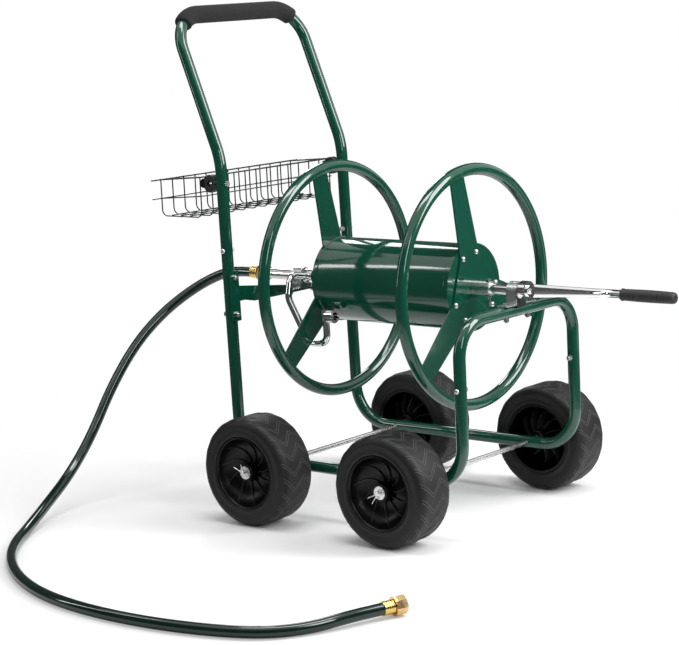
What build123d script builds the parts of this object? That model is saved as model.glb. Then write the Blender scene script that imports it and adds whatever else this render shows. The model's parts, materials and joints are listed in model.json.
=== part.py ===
from build123d import *
import os
from math import cos, pi, radians, sin, tan

# Garden hose reel cart: a four-wheeled tube frame that carries a hand-cranked hose drum,
# a wire basket and a short leader hose. X runs fore and aft with the crank at +X,
# Y runs across the cart, Z is up and the floor is at Z = 0.

os.makedirs("parts", exist_ok=True)

# Wheels and axles
WHEEL_DIA = 203.0
WHEEL_WIDTH = 89.0
WHEEL_OUTER_Y = 290.0
WHEELBASE = 317.0
TYRE_SHOULDER = 16.0
TYRE_BEAD_FILLET = 4.0
TYRE_WALL = 10.0
RIM_SEAT_DIA = 136.0
RIM_BARREL_WALL = 5.0
RIM_BARREL_INSET = 3.0
RIM_WEB_DEPTH = 34.0
RIM_WEB_THICKNESS = 4.0
RIM_RIB_COUNT = 10
RIM_RIB_THICKNESS = 2.6
RIM_RIB_HEIGHT = 20.0
RIM_RIB_SWEEP = 34.0
RIM_RIB_CURL = 0.3
RIM_RIB_ROOT = 1.0
RIM_HUB_DIA = 32.0
RIM_HUB_RECESS = 10.0
AXLE_DIA = 9.5
AXLE_WASHER_DIA = 24.0
AXLE_WASHER_THICKNESS = 1.6
AXLE_SPACER_DIA = 16.0
COTTER_WIRE_DIA = 3.0
COTTER_EYE_WIRE_DIA = 2.4
COTTER_LEG_WIRE_DIA = 2.1
COTTER_LENGTH = 22.0
COTTER_LEG_LENGTH = 11.0
COTTER_SPLAY = 32.0
COTTER_EYE_RADIUS = 3.4
COTTER_TILT = 28.0

# Frame tubes
TUBE_DIA = 22.2
TUBE_WALL = 1.5
RAIL_Y = 177.0
RAIL_CORNER_RADIUS = 75.0
FRONT_OVERHANG = 107.0
REAR_OVERHANG = 104.0
REAR_LEAN = 1.15
FRONT_SEAM_Z = 249.5
ARCH_TOP_Z = 390.0
ARCH_CORNER_RADIUS = 63.0
REAR_SEAM_Z = 478.0
HANDLE_BEND_Z = 668.0
HANDLE_BEND_RADIUS = 150.0
HANDLE_TOP_Z = 936.0
HANDLE_SETBACK = 104.4
HANDLE_CORNER_RADIUS = 68.0
SPIGOT_LENGTH = 45.0
SPIGOT_COLLAR = 12.0
FRONT_BOLT_RISE = 25.0
REAR_BOLT_RISE = 18.0
FOAM_DIA = 34.0
FOAM_CORNER_ANGLE = 52.0

# Reel
AXIS_Z = 426.0
REEL_OFFSET = 12.7
DRUM_DIA = 158.0
DRUM_LENGTH = 318.0
DRUM_WALL = 1.2
DRUM_BEAD_WIDTH = 9.0
DRUM_BEAD_RISE = 1.6
DRUM_END_THICKNESS = 2.0
DRUM_END_FLANGE = 14.0
RING_DIA = 430.0
RING_TUBE_DIA = 22.0
RING_TUBE_WALL = 1.3
RING_VENT_DIA = 2.4
SPIDER_THICKNESS = 3.0
SPIDER_ANGLE = 101.6
SPIDER_ARMS = 3
ARM_HUB_RADIUS = 64.0
ARM_HUB_WIDTH = 56.0
ARM_RING_WIDTH = 39.0
SPIDER_BOLT_RADIUS = 61.0
SPIDER_BOLT_SPACING = 41.0
SHAFT_DIA = 19.0
SHAFT_BORE = 12.0
SLEEVE_DIA = 26.0
SLEEVE_LENGTH = 38.0
SLEEVE_BOLT_INSET = 7.0
SLEEVE_BOLT_TAIL = 33.0

# Bearings, saddle clamps and the rear cross member
SADDLE_WIDTH = 22.0
SADDLE_SHEET = 2.0
SADDLE_BOLT_SPACING = 66.0
SADDLE_FOOT_LENGTH = 24.0
BUSH_DIA = 28.0
BUSH_SEAT_DEPTH = 4.0
MEMBER_SHEET = 3.0
MEMBER_FLANGE_Z = 402.0
MEMBER_FLANGE_DEPTH = 24.0
MEMBER_FLANGE_HALF = 150.0
MEMBER_MID_TOP_Z = 410.0
MEMBER_MID_HALF = 26.0
MEMBER_END_TOP_Z = 428.0
MEMBER_TAB_BOTTOM_Z = 362.0
MEMBER_TAB_TOP_Z = 457.0
MEMBER_TAB_WIDTH = 24.0
MEMBER_BOLT_SPACING = 70.0

# Water inlet, gooseneck and hose outlet
INLET_NECK_DIA = 20.0
INLET_TAIL = 95.0
INLET_THREAD_DIA = 26.0
INLET_THREAD_LENGTH = 12.0
INLET_BORE = 13.0
SEAL_WIRE_DIA = 2.4
SEAL_SPACING = 9.0
TEE_DIA = 27.0
TEE_LENGTH = 22.0
TEE_GAP = 3.0
TEE_BRANCH_REACH = 20.0
TEE_BRANCH_DIA = 18.0
GOOSENECK_DIA = 13.0
GOOSENECK_BORE = 10.0
OUTLET_BODY_DIA = 20.0
OUTLET_BODY_LENGTH = 22.0
OUTLET_THREAD_DIA = 26.4
OUTLET_THREAD_LENGTH = 13.0
OUTLET_BORE = 15.0

# Crank
CRANK_PLANE = 21.0
CRANK_RADIUS = 257.0
CRANK_ANGLE = -9.3
CRANK_HUB_DIA = 36.0
CRANK_HUB_LENGTH = 14.0
CRANK_ARM_WIDTH = 25.0
CRANK_ARM_DEPTH = 13.0
CRANK_TUBE_DIA = 17.0
CRANK_BEND_RADIUS = 24.0
CRANK_TAPER_START = 14.0
CRANK_STRAIGHT = 40.0
SPINDLE_DIA = 10.0
GRIP_DIA = 24.0
GRIP_LENGTH = 115.0
GRIP_END_WALL = 6.0
GRIP_END_FILLET = 6.0
CRANK_CAP_DIA = 21.0
CRANK_CAP_THICKNESS = 3.5

# Basket
BASKET_LENGTH = 384.0
BASKET_DEPTH = 106.0
BASKET_BOTTOM_Z = 557.0
BASKET_TOP_Z = 636.0
BASKET_STANDOFF = 44.0
BASKET_WIRE = 3.0
BASKET_COLUMN_COUNT = 12
BASKET_CROSS_COUNT = 3
BASKET_ROW_COUNT = 2
CLIP_Z = 622.0
CLIP_HEIGHT = 34.0
CLIP_WIDTH = 14.0
CLIP_EYE_DIA = 12.0
CLIP_CORNER_RADIUS = 9.0
CLIP_PLATE = 2.0
CLIP_PLATE_WIDTH = 22.0

# Fasteners and hose
BOLT_DIA = 6.0
BOLT_HEAD_DIA = 11.0
BOLT_HEAD_HEIGHT = 4.0
NUT_HEIGHT = 5.0
BOLT_TAIL = 7.0
HOSE_DIA = 20.0
HOSE_FLOOR_GAP = 0.4
HOSE_BEND_SHARE = 0.45
HOSE_LEAD = 53.0
FERRULE_DIA = 22.0
FERRULE_LENGTH = 20.0
COUPLING_NECK_DIA = 17.0
COUPLING_FLANGE_DIA = 24.0
COUPLING_FLANGE = 2.5
COUPLING_BORE = 11.0
COUPLING_WASHER = 3.0
NUT_DIA = 33.0
NUT_SIDES = 8
NUT_LENGTH = 20.0
NUT_END_WALL = 6.0
NUT_THREAD_DIA = 26.4
NUT_RELIEF_DIA = 27.6

# Clearances
RUN_CLEARANCE = 0.06
FIT_CLEARANCE = 0.1
BOLT_CLEARANCE = 0.2
SIDE_CLEARANCE = 0.4

# Stations that follow from the sizes above
wheel_radius = WHEEL_DIA / 2
rail_z = wheel_radius
tube_radius = TUBE_DIA / 2
spigot_radius = tube_radius - TUBE_WALL - FIT_CLEARANCE
spigot_bore = spigot_radius - TUBE_WALL
lean_slope = tan(radians(REAR_LEAN))
crank_grip_start = CRANK_PLANE + CRANK_STRAIGHT + SIDE_CLEARANCE
front_reach = WHEELBASE / 2 + FRONT_OVERHANG + crank_grip_start + GRIP_LENGTH
basket_lean = (CLIP_Z - rail_z) * lean_slope
rear_reach = WHEELBASE / 2 + REAR_OVERHANG + basket_lean + BASKET_STANDOFF + BASKET_DEPTH
mid_x = (rear_reach - front_reach) / 2
front_axle_x = mid_x + WHEELBASE / 2
rear_axle_x = mid_x - WHEELBASE / 2
front_leg_x = front_axle_x + FRONT_OVERHANG
rear_foot_x = rear_axle_x - REAR_OVERHANG
reel_x = mid_x + REEL_OFFSET
drum_front_x = reel_x + DRUM_LENGTH / 2
drum_rear_x = reel_x - DRUM_LENGTH / 2
shaft_radius = SHAFT_DIA / 2
ring_radius = RING_DIA / 2
ring_inner = ring_radius - RING_TUBE_DIA / 2
bolt_radius = BOLT_DIA / 2
bolt_hole = bolt_radius + BOLT_CLEARANCE
SIDES = {"near": -1, "far": 1}
AXLES = {"front": front_axle_x, "rear": rear_axle_x}


def rear_leg_x(z):
    return rear_foot_x - (z - rail_z) * lean_slope


def reel_plane(x):
    """A plane square to the reel axis: local x is across the cart, local y is up."""
    return Plane(origin=(x, 0, AXIS_Z), x_dir=(0, 1, 0), z_dir=(1, 0, 0))


def hex_bolt(seat, axis, grip, tail=BOLT_TAIL, nut=True):
    """A hex bolt whose head sits at a point, with its nut across the grip."""
    head_plane = Plane(origin=seat, z_dir=axis)
    with BuildPart() as bolt:
        with BuildSketch(head_plane.offset(-BOLT_HEAD_HEIGHT)):
            RegularPolygon(BOLT_HEAD_DIA / 2, 6)
        extrude(amount=BOLT_HEAD_HEIGHT)
        with BuildSketch(head_plane):
            Circle(bolt_radius)
        extrude(amount=grip + tail)
    pieces = [bolt.part]
    if nut:
        with BuildPart() as bolt_nut:
            with BuildSketch(head_plane.offset(grip)):
                RegularPolygon(BOLT_HEAD_DIA / 2, 6)
                Circle(bolt_radius + FIT_CLEARANCE, mode=Mode.SUBTRACT)
            extrude(amount=NUT_HEIGHT)
        pieces.append(bolt_nut.part)
    return pieces


# Bolt stations on the rear legs
member_mid_z = (MEMBER_TAB_BOTTOM_Z + MEMBER_TAB_TOP_Z) / 2
leg_axis = Vector(-sin(radians(REAR_LEAN)), 0, cos(radians(REAR_LEAN)))
leg_front = Vector(cos(radians(REAR_LEAN)), 0, sin(radians(REAR_LEAN)))
member_bolt_points = []
for side in SIDES.values():
    leg_middle = Vector(rear_leg_x(member_mid_z), side * RAIL_Y, member_mid_z)
    for step in (-0.5, 0.5):
        member_bolt_points.append(leg_middle + leg_axis * (step * MEMBER_BOLT_SPACING))
clip_bolt_points = [Vector(rear_leg_x(CLIP_Z), side * RAIL_Y, CLIP_Z) for side in SIDES.values()]

# Side rails: one bent tube a side, necked at both tops to plug into the upper tubes
rail_stations = [
    (front_leg_x, FRONT_SEAM_Z),
    (front_leg_x, rail_z),
    (rear_foot_x, rail_z),
    (rear_leg_x(REAR_SEAM_Z), REAR_SEAM_Z),
]
for side_name, side in SIDES.items():
    rail_y = side * RAIL_Y
    rail_points = [(x, rail_y, z) for x, z in rail_stations]
    with BuildPart() as side_rail:
        with BuildLine() as rail_path:
            FilletPolyline(*rail_points, radius=RAIL_CORNER_RADIUS)
        with BuildSketch(Plane(origin=rail_path.line @ 0, z_dir=rail_path.line % 0)):
            Circle(tube_radius)
            Circle(tube_radius - TUBE_WALL, mode=Mode.SUBTRACT)
        sweep()
        front_top = Plane(origin=rail_path.line @ 0, z_dir=-(rail_path.line % 0))
        rear_top = Plane(origin=rail_path.line @ 1, z_dir=rail_path.line % 1)
        for neck_plane in (front_top, rear_top):
            with BuildSketch(neck_plane.offset(-SPIGOT_COLLAR)):
                Circle(tube_radius)
                Circle(spigot_bore, mode=Mode.SUBTRACT)
            extrude(amount=SPIGOT_COLLAR)
            with BuildSketch(neck_plane):
                Circle(spigot_radius)
                Circle(spigot_bore, mode=Mode.SUBTRACT)
            extrude(amount=SPIGOT_LENGTH)
        drill_points = [(x, rail_z, AXLE_DIA / 2 + FIT_CLEARANCE) for x in AXLES.values()]
        drill_points.append((front_leg_x, FRONT_SEAM_Z + FRONT_BOLT_RISE, bolt_hole))
        rear_bolt_z = REAR_SEAM_Z + REAR_BOLT_RISE
        drill_points.append((rear_leg_x(rear_bolt_z), rear_bolt_z, bolt_hole))
        for x, z, radius in drill_points:
            with BuildSketch(Plane(origin=(x, rail_y, z), z_dir=(0, 1, 0))):
                Circle(radius)
            extrude(amount=TUBE_DIA, both=True, mode=Mode.SUBTRACT)
        for point in member_bolt_points:
            with BuildSketch(Plane(origin=point, z_dir=leg_front)):
                Circle(bolt_hole)
            extrude(amount=TUBE_DIA, both=True, mode=Mode.SUBTRACT)
    side_rail.part.label = f"side_rail_{side_name}"
    export_step(side_rail.part, f"parts/side_rail_{side_name}.step")

# Front arch: the tube that carries the front bearing
arch_points = [
    (front_leg_x, -RAIL_Y, FRONT_SEAM_Z),
    (front_leg_x, -RAIL_Y, ARCH_TOP_Z),
    (front_leg_x, RAIL_Y, ARCH_TOP_Z),
    (front_leg_x, RAIL_Y, FRONT_SEAM_Z),
]
arch_crown_z = ARCH_TOP_Z + tube_radius
saddle_bolt_y = SADDLE_BOLT_SPACING / 2
with BuildPart() as front_arch:
    with BuildLine() as arch_path:
        FilletPolyline(*arch_points, radius=ARCH_CORNER_RADIUS)
    with BuildSketch(Plane(origin=arch_path.line @ 0, z_dir=arch_path.line % 0)):
        Circle(tube_radius)
        Circle(tube_radius - TUBE_WALL, mode=Mode.SUBTRACT)
    sweep()
    for side in SIDES.values():
        bolt_z = FRONT_SEAM_Z + FRONT_BOLT_RISE
        with BuildSketch(Plane(origin=(front_leg_x, side * RAIL_Y, bolt_z), z_dir=(0, 1, 0))):
            Circle(bolt_hole)
        extrude(amount=TUBE_DIA, both=True, mode=Mode.SUBTRACT)
        with BuildSketch(Plane.XY.offset(ARCH_TOP_Z)):
            with Locations((front_leg_x, side * saddle_bolt_y)):
                Circle(bolt_hole)
        extrude(amount=TUBE_DIA, both=True, mode=Mode.SUBTRACT)
front_arch.part.label = "front_arch"
export_step(front_arch.part, "parts/front_arch.step")

# Push handle: leaning legs, a bend, then the raked top bow
handle_bend_x = rear_leg_x(HANDLE_BEND_Z)
handle_top_x = handle_bend_x - HANDLE_SETBACK
handle_half = [
    (rear_leg_x(REAR_SEAM_Z), REAR_SEAM_Z),
    (handle_bend_x, HANDLE_BEND_Z),
    (handle_top_x, HANDLE_TOP_Z),
]
handle_points = [(x, -RAIL_Y, z) for x, z in handle_half]
handle_points += [(x, RAIL_Y, z) for x, z in reversed(handle_half)]
handle_radii = [HANDLE_BEND_RADIUS, HANDLE_CORNER_RADIUS, HANDLE_CORNER_RADIUS, HANDLE_BEND_RADIUS]
with BuildPart() as handle_tube:
    with BuildLine() as handle_path:
        FilletPolyline(*handle_points, radius=handle_radii)
    with BuildSketch(Plane(origin=handle_path.line @ 0, z_dir=handle_path.line % 0)):
        Circle(tube_radius)
        Circle(tube_radius - TUBE_WALL, mode=Mode.SUBTRACT)
    sweep()
    for side in SIDES.values():
        bolt_z = REAR_SEAM_Z + REAR_BOLT_RISE
        with BuildSketch(Plane(origin=(rear_leg_x(bolt_z), side * RAIL_Y, bolt_z), z_dir=(0, 1, 0))):
            Circle(bolt_hole)
        extrude(amount=TUBE_DIA, both=True, mode=Mode.SUBTRACT)
    for point in clip_bolt_points:
        with BuildSketch(Plane(origin=point, z_dir=(1, 0, 0))):
            Circle(bolt_hole)
        extrude(amount=TUBE_DIA, both=True, mode=Mode.SUBTRACT)
handle_tube.part.label = "handle_tube"
export_step(handle_tube.part, "parts/handle_tube.step")

# Foam grip: a sleeve over the top bow and part of both its corners
rake = Vector(handle_top_x - handle_bend_x, 0, HANDLE_TOP_Z - HANDLE_BEND_Z).normalized()
bow_plane = Plane(
    origin=(handle_top_x, 0, HANDLE_TOP_Z), x_dir=(0, 1, 0), z_dir=Vector(0, 1, 0).cross(rake)
)
corner_y = RAIL_Y - HANDLE_CORNER_RADIUS
foam_inner = tube_radius + FIT_CLEARANCE
with BuildPart() as handle_foam_grip:
    with BuildLine(bow_plane) as foam_path:
        CenterArc(
            (-corner_y, -HANDLE_CORNER_RADIUS),
            HANDLE_CORNER_RADIUS,
            90 + FOAM_CORNER_ANGLE,
            -FOAM_CORNER_ANGLE,
        )
        Line((-corner_y, 0), (corner_y, 0))
        CenterArc((corner_y, -HANDLE_CORNER_RADIUS), HANDLE_CORNER_RADIUS, 90, -FOAM_CORNER_ANGLE)
    with BuildSketch(Plane(origin=foam_path.line @ 0, z_dir=foam_path.line % 0)):
        Circle(FOAM_DIA / 2)
        Circle(foam_inner, mode=Mode.SUBTRACT)
    sweep()
handle_foam_grip.part.label = "handle_foam_grip"
export_step(handle_foam_grip.part, "parts/handle_foam_grip.step")

# Rear cross member: a folded sheet bolted across the front of the rear legs
member_face = Plane(
    origin=Vector(rear_leg_x(AXIS_Z), 0, AXIS_Z) + leg_front * tube_radius, x_dir=(0, 1, 0), z_dir=leg_front
)
tab_inner = RAIL_Y - MEMBER_TAB_WIDTH / 2
tab_outer = RAIL_Y + MEMBER_TAB_WIDTH / 2
member_bottom = MEMBER_FLANGE_Z - MEMBER_SHEET - AXIS_Z
member_outline = [
    (tab_outer, MEMBER_TAB_BOTTOM_Z - AXIS_Z),
    (tab_outer, MEMBER_TAB_TOP_Z - AXIS_Z),
    (tab_inner, MEMBER_TAB_TOP_Z - AXIS_Z),
    (tab_inner, MEMBER_END_TOP_Z - AXIS_Z),
    (MEMBER_MID_HALF, MEMBER_MID_TOP_Z - AXIS_Z),
]
member_lower = [(tab_inner, MEMBER_TAB_BOTTOM_Z - AXIS_Z), (tab_inner, member_bottom)]
member_points = member_outline + [(-y, z) for y, z in reversed(member_outline)]
member_points += [(-y, z) for y, z in member_lower] + list(reversed(member_lower))
flange_face_x = rear_leg_x(MEMBER_FLANGE_Z) + tube_radius / cos(radians(REAR_LEAN))
rear_saddle_x = flange_face_x + MEMBER_SHEET + SADDLE_WIDTH / 2 + FIT_CLEARANCE
with BuildPart() as rear_crossmember:
    with BuildSketch(member_face):
        with BuildLine():
            Polyline(*member_points, close=True)
        make_face()
    extrude(amount=MEMBER_SHEET)
    with BuildSketch(Plane.XY.offset(MEMBER_FLANGE_Z - MEMBER_SHEET)):
        with Locations((flange_face_x + (MEMBER_SHEET + MEMBER_FLANGE_DEPTH) / 2, 0)):
            Rectangle(MEMBER_SHEET + MEMBER_FLANGE_DEPTH, 2 * MEMBER_FLANGE_HALF)
    extrude(amount=MEMBER_SHEET)
    for point in member_bolt_points:
        with BuildSketch(Plane(origin=point, z_dir=leg_front)):
            Circle(bolt_hole)
        extrude(amount=2 * TUBE_DIA, mode=Mode.SUBTRACT)
    with BuildSketch(Plane.XY.offset(MEMBER_FLANGE_Z)):
        with Locations((rear_saddle_x, -saddle_bolt_y), (rear_saddle_x, saddle_bolt_y)):
            Circle(bolt_hole)
    extrude(amount=2 * MEMBER_SHEET, both=True, mode=Mode.SUBTRACT)
rear_crossmember.part.label = "rear_crossmember"
export_step(rear_crossmember.part, "parts/rear_crossmember.step")

# Axles: plain rods through both rails, cross-drilled for the cotter pins
hub_outer_y = WHEEL_OUTER_Y - RIM_HUB_RECESS
washer_y = hub_outer_y + SIDE_CLEARANCE
cotter_y = washer_y + AXLE_WASHER_THICKNESS + COTTER_WIRE_DIA / 2 + FIT_CLEARANCE
cotter_axis = Vector(cos(radians(COTTER_TILT)), 0, sin(radians(COTTER_TILT)))
for axle_name, axle_x in AXLES.items():
    with BuildPart() as axle:
        with BuildSketch(Plane(origin=(axle_x, -WHEEL_OUTER_Y, rail_z), z_dir=(0, 1, 0))):
            Circle(AXLE_DIA / 2)
        extrude(amount=2 * WHEEL_OUTER_Y)
        chamfer(axle.edges().filter_by(GeomType.CIRCLE), length=AXLE_DIA / 10)
        for side in SIDES.values():
            with BuildSketch(Plane(origin=(axle_x, side * cotter_y, rail_z), z_dir=cotter_axis)):
                Circle(COTTER_WIRE_DIA / 2 + FIT_CLEARANCE)
            extrude(amount=AXLE_DIA, both=True, mode=Mode.SUBTRACT)
    axle.part.label = f"{axle_name}_axle"
    export_step(axle.part, f"parts/{axle_name}_axle.step")

# Washers outside each hub and spacers between each hub and its rail
with BuildPart() as axle_washers:
    for axle_x in AXLES.values():
        for side in SIDES.values():
            with BuildSketch(Plane(origin=(axle_x, side * washer_y, rail_z), z_dir=(0, side, 0))):
                Circle(AXLE_WASHER_DIA / 2)
                Circle(AXLE_DIA / 2 + FIT_CLEARANCE, mode=Mode.SUBTRACT)
            extrude(amount=AXLE_WASHER_THICKNESS)
axle_washers.part.label = "axle_washers"
export_step(axle_washers.part, "parts/axle_washers.step")

spacer_start = RAIL_Y + tube_radius
spacer_length = WHEEL_OUTER_Y - WHEEL_WIDTH - spacer_start - SIDE_CLEARANCE
with BuildPart() as axle_spacers:
    for axle_x in AXLES.values():
        for side in SIDES.values():
            with BuildSketch(Plane(origin=(axle_x, side * spacer_start, rail_z), z_dir=(0, side, 0))):
                Circle(AXLE_SPACER_DIA / 2)
                Circle(AXLE_DIA / 2 + FIT_CLEARANCE, mode=Mode.SUBTRACT)
            extrude(amount=spacer_length)
axle_spacers.part.label = "axle_spacers"
export_step(axle_spacers.part, "parts/axle_spacers.step")

# Cotter pins: a shank through the axle, an eye at one end and two splayed legs
wire_radius = COTTER_WIRE_DIA / 2
with BuildPart() as cotter_pins:
    for axle_x in AXLES.values():
        for side in SIDES.values():
            middle = Vector(axle_x, side * cotter_y, rail_z)
            with BuildSketch(Plane(origin=middle - cotter_axis * (COTTER_LENGTH / 2), z_dir=cotter_axis)):
                Circle(wire_radius)
            extrude(amount=COTTER_LENGTH)
            eye = middle - cotter_axis * (COTTER_LENGTH / 2 + COTTER_EYE_RADIUS)
            eye_plane = Plane(origin=eye, x_dir=cotter_axis, z_dir=(0, 1, 0))
            with BuildSketch(Plane(origin=eye, x_dir=cotter_axis, z_dir=eye_plane.y_dir)):
                with Locations((COTTER_EYE_RADIUS, 0)):
                    Circle(COTTER_EYE_WIRE_DIA / 2)
            revolve(axis=Axis(eye, (0, 1, 0)))
            for turn in (-COTTER_SPLAY, COTTER_SPLAY):
                leg = cotter_axis.rotate(Axis.Y, turn)
                start = middle + cotter_axis * (COTTER_LENGTH / 2 - wire_radius)
                with BuildSketch(Plane(origin=start, z_dir=leg)):
                    Circle(COTTER_LEG_WIRE_DIA / 2)
                extrude(amount=COTTER_LEG_LENGTH)
cotter_pins.part.label = "cotter_pins"
export_step(cotter_pins.part, "parts/cotter_pins.step")

# Wheels: a wide tyre on a dished rim whose ribs curve like fan blades
seat_radius = RIM_SEAT_DIA / 2
barrel_inner = seat_radius - RIM_BARREL_WALL
hub_radius = RIM_HUB_DIA / 2
rib_base = WHEEL_WIDTH / 2 - RIM_WEB_DEPTH
for axle_name, axle_x in AXLES.items():
    for side_name, side in SIDES.items():
        wheel_name = f"{axle_name}_{side_name}"
        centre = Vector(axle_x, side * (WHEEL_OUTER_Y - WHEEL_WIDTH / 2), rail_z)
        spin_axis = Axis(centre, (0, side, 0))
        profile_plane = Plane(origin=centre, x_dir=(1, 0, 0), z_dir=(0, 0, side))
        face_plane = Plane(origin=centre, x_dir=(1, 0, 0), z_dir=(0, side, 0))
        with BuildPart() as tyre:
            with BuildSketch(profile_plane):
                with Locations(((seat_radius + FIT_CLEARANCE + wheel_radius) / 2, 0)):
                    Rectangle(wheel_radius - seat_radius - FIT_CLEARANCE, WHEEL_WIDTH)
                corners = vertices().group_by(Axis.X)
                fillet(corners[-1], radius=TYRE_SHOULDER)
                fillet(corners[0], radius=TYRE_BEAD_FILLET)
                with Locations((seat_radius, 0)):
                    Rectangle(
                        2 * (wheel_radius - TYRE_WALL - seat_radius),
                        WHEEL_WIDTH - 2 * TYRE_WALL,
                        mode=Mode.SUBTRACT,
                    )
            revolve(axis=spin_axis)
        tyre.part.label = f"tyre_{wheel_name}"
        export_step(tyre.part, f"parts/tyre_{wheel_name}.step")
        with BuildPart() as rim:
            barrel_half = WHEEL_WIDTH / 2 - RIM_BARREL_INSET
            with BuildSketch(face_plane.offset(-barrel_half)):
                Circle(seat_radius)
                Circle(barrel_inner, mode=Mode.SUBTRACT)
            extrude(amount=2 * barrel_half)
            with BuildSketch(face_plane.offset(rib_base - RIM_WEB_THICKNESS)):
                Circle(barrel_inner)
            extrude(amount=RIM_WEB_THICKNESS)
            with BuildSketch(face_plane.offset(-WHEEL_WIDTH / 2)):
                Circle(hub_radius)
            extrude(amount=WHEEL_WIDTH - RIM_HUB_RECESS)
            with BuildSketch(face_plane.offset(rib_base)):
                for rib in range(RIM_RIB_COUNT):
                    root = 360 * rib / RIM_RIB_COUNT
                    rib_radii = (
                        hub_radius - RIM_RIB_ROOT,
                        (hub_radius + barrel_inner) / 2,
                        barrel_inner + RIM_RIB_ROOT,
                    )
                    rib_turns = (root, root + RIM_RIB_CURL * RIM_RIB_SWEEP, root + RIM_RIB_SWEEP)
                    rib_points = []
                    for r, turn in zip(rib_radii, rib_turns):
                        rib_points.append((r * cos(radians(turn)), r * sin(radians(turn))))
                    with BuildLine():
                        ThreePointArc(*rib_points)
                    trace(line_width=RIM_RIB_THICKNESS)
            extrude(amount=RIM_RIB_HEIGHT)
            with BuildSketch(face_plane.offset(-WHEEL_WIDTH / 2)):
                Circle(AXLE_DIA / 2 + RUN_CLEARANCE)
            extrude(amount=WHEEL_WIDTH, mode=Mode.SUBTRACT)
        rim.part.label = f"rim_{wheel_name}"
        export_step(rim.part, f"parts/rim_{wheel_name}.step")

# Through bolts at the four tube seams
joint_bolts = []
for side in SIDES.values():
    for x, z in (
        (front_leg_x, FRONT_SEAM_Z + FRONT_BOLT_RISE),
        (rear_leg_x(REAR_SEAM_Z + REAR_BOLT_RISE), REAR_SEAM_Z + REAR_BOLT_RISE),
    ):
        joint_bolts += hex_bolt((x, side * (RAIL_Y + tube_radius), z), (0, -side, 0), TUBE_DIA)
with BuildPart() as frame_joint_bolts:
    add(joint_bolts)
frame_joint_bolts.part.label = "frame_joint_bolts"
export_step(frame_joint_bolts.part, "parts/frame_joint_bolts.step")

# Bolts of the cross member, heads behind the legs
member_bolts = []
for point in member_bolt_points:
    member_bolts += hex_bolt(point - leg_front * tube_radius, leg_front, TUBE_DIA + MEMBER_SHEET)
with BuildPart() as crossmember_bolts:
    add(member_bolts)
crossmember_bolts.part.label = "crossmember_bolts"
export_step(crossmember_bolts.part, "parts/crossmember_bolts.step")

# Saddle clamps: folded straps that hold the two bearings down
saddle_outer = BUSH_DIA / 2 + FIT_CLEARANCE + SADDLE_SHEET
saddle_inner = BUSH_DIA / 2 + FIT_CLEARANCE
foot_outer = saddle_bolt_y + SADDLE_FOOT_LENGTH / 2
SADDLES = {
    "front": (front_leg_x, arch_crown_z, TUBE_DIA),
    "rear": (rear_saddle_x, MEMBER_FLANGE_Z, MEMBER_SHEET),
}
saddle_bolt_list = []
for saddle_name, (saddle_x, base_z, bolt_grip) in SADDLES.items():
    drop = AXIS_Z - base_z
    with BuildPart() as saddle_clamp:
        with BuildSketch(reel_plane(saddle_x - SADDLE_WIDTH / 2)):
            Circle(saddle_outer)
            with Locations((0, -drop / 2)):
                Rectangle(2 * saddle_outer, drop)
            with Locations((0, SADDLE_SHEET / 2 - drop)):
                Rectangle(2 * foot_outer, SADDLE_SHEET)
            Circle(saddle_inner, mode=Mode.SUBTRACT)
            with Locations((0, -drop / 2)):
                Rectangle(2 * saddle_inner, drop, mode=Mode.SUBTRACT)
        extrude(amount=SADDLE_WIDTH)
        with BuildSketch(Plane.XY.offset(base_z)):
            with Locations((saddle_x, -saddle_bolt_y), (saddle_x, saddle_bolt_y)):
                Circle(bolt_hole)
        extrude(amount=2 * SADDLE_SHEET, mode=Mode.SUBTRACT)
    saddle_clamp.part.label = f"{saddle_name}_saddle_clamp"
    export_step(saddle_clamp.part, f"parts/{saddle_name}_saddle_clamp.step")
    for side in SIDES.values():
        saddle_bolt_list += hex_bolt(
            (saddle_x, side * saddle_bolt_y, base_z + SADDLE_SHEET), (0, 0, -1), SADDLE_SHEET + bolt_grip
        )
with BuildPart() as saddle_bolts:
    add(saddle_bolt_list)
saddle_bolts.part.label = "saddle_bolts"
export_step(saddle_bolts.part, "parts/saddle_bolts.step")

# Front bearing bush: a block under the strap, hollowed to straddle the arch tube
journal_radius = shaft_radius + RUN_CLEARANCE
front_drop = AXIS_Z - arch_crown_z + BUSH_SEAT_DEPTH
with BuildPart() as front_bearing_bush:
    with BuildSketch(reel_plane(front_leg_x - SADDLE_WIDTH / 2)):
        Circle(BUSH_DIA / 2)
        with Locations((0, -front_drop / 2)):
            Rectangle(BUSH_DIA, front_drop)
        Circle(journal_radius, mode=Mode.SUBTRACT)
    extrude(amount=SADDLE_WIDTH)
    with BuildSketch(Plane(origin=(front_leg_x, 0, ARCH_TOP_Z), z_dir=(0, 1, 0))):
        Circle(tube_radius + FIT_CLEARANCE)
    extrude(amount=BUSH_DIA, both=True, mode=Mode.SUBTRACT)
front_bearing_bush.part.label = "front_bearing_bush"
export_step(front_bearing_bush.part, "parts/front_bearing_bush.step")

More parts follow.
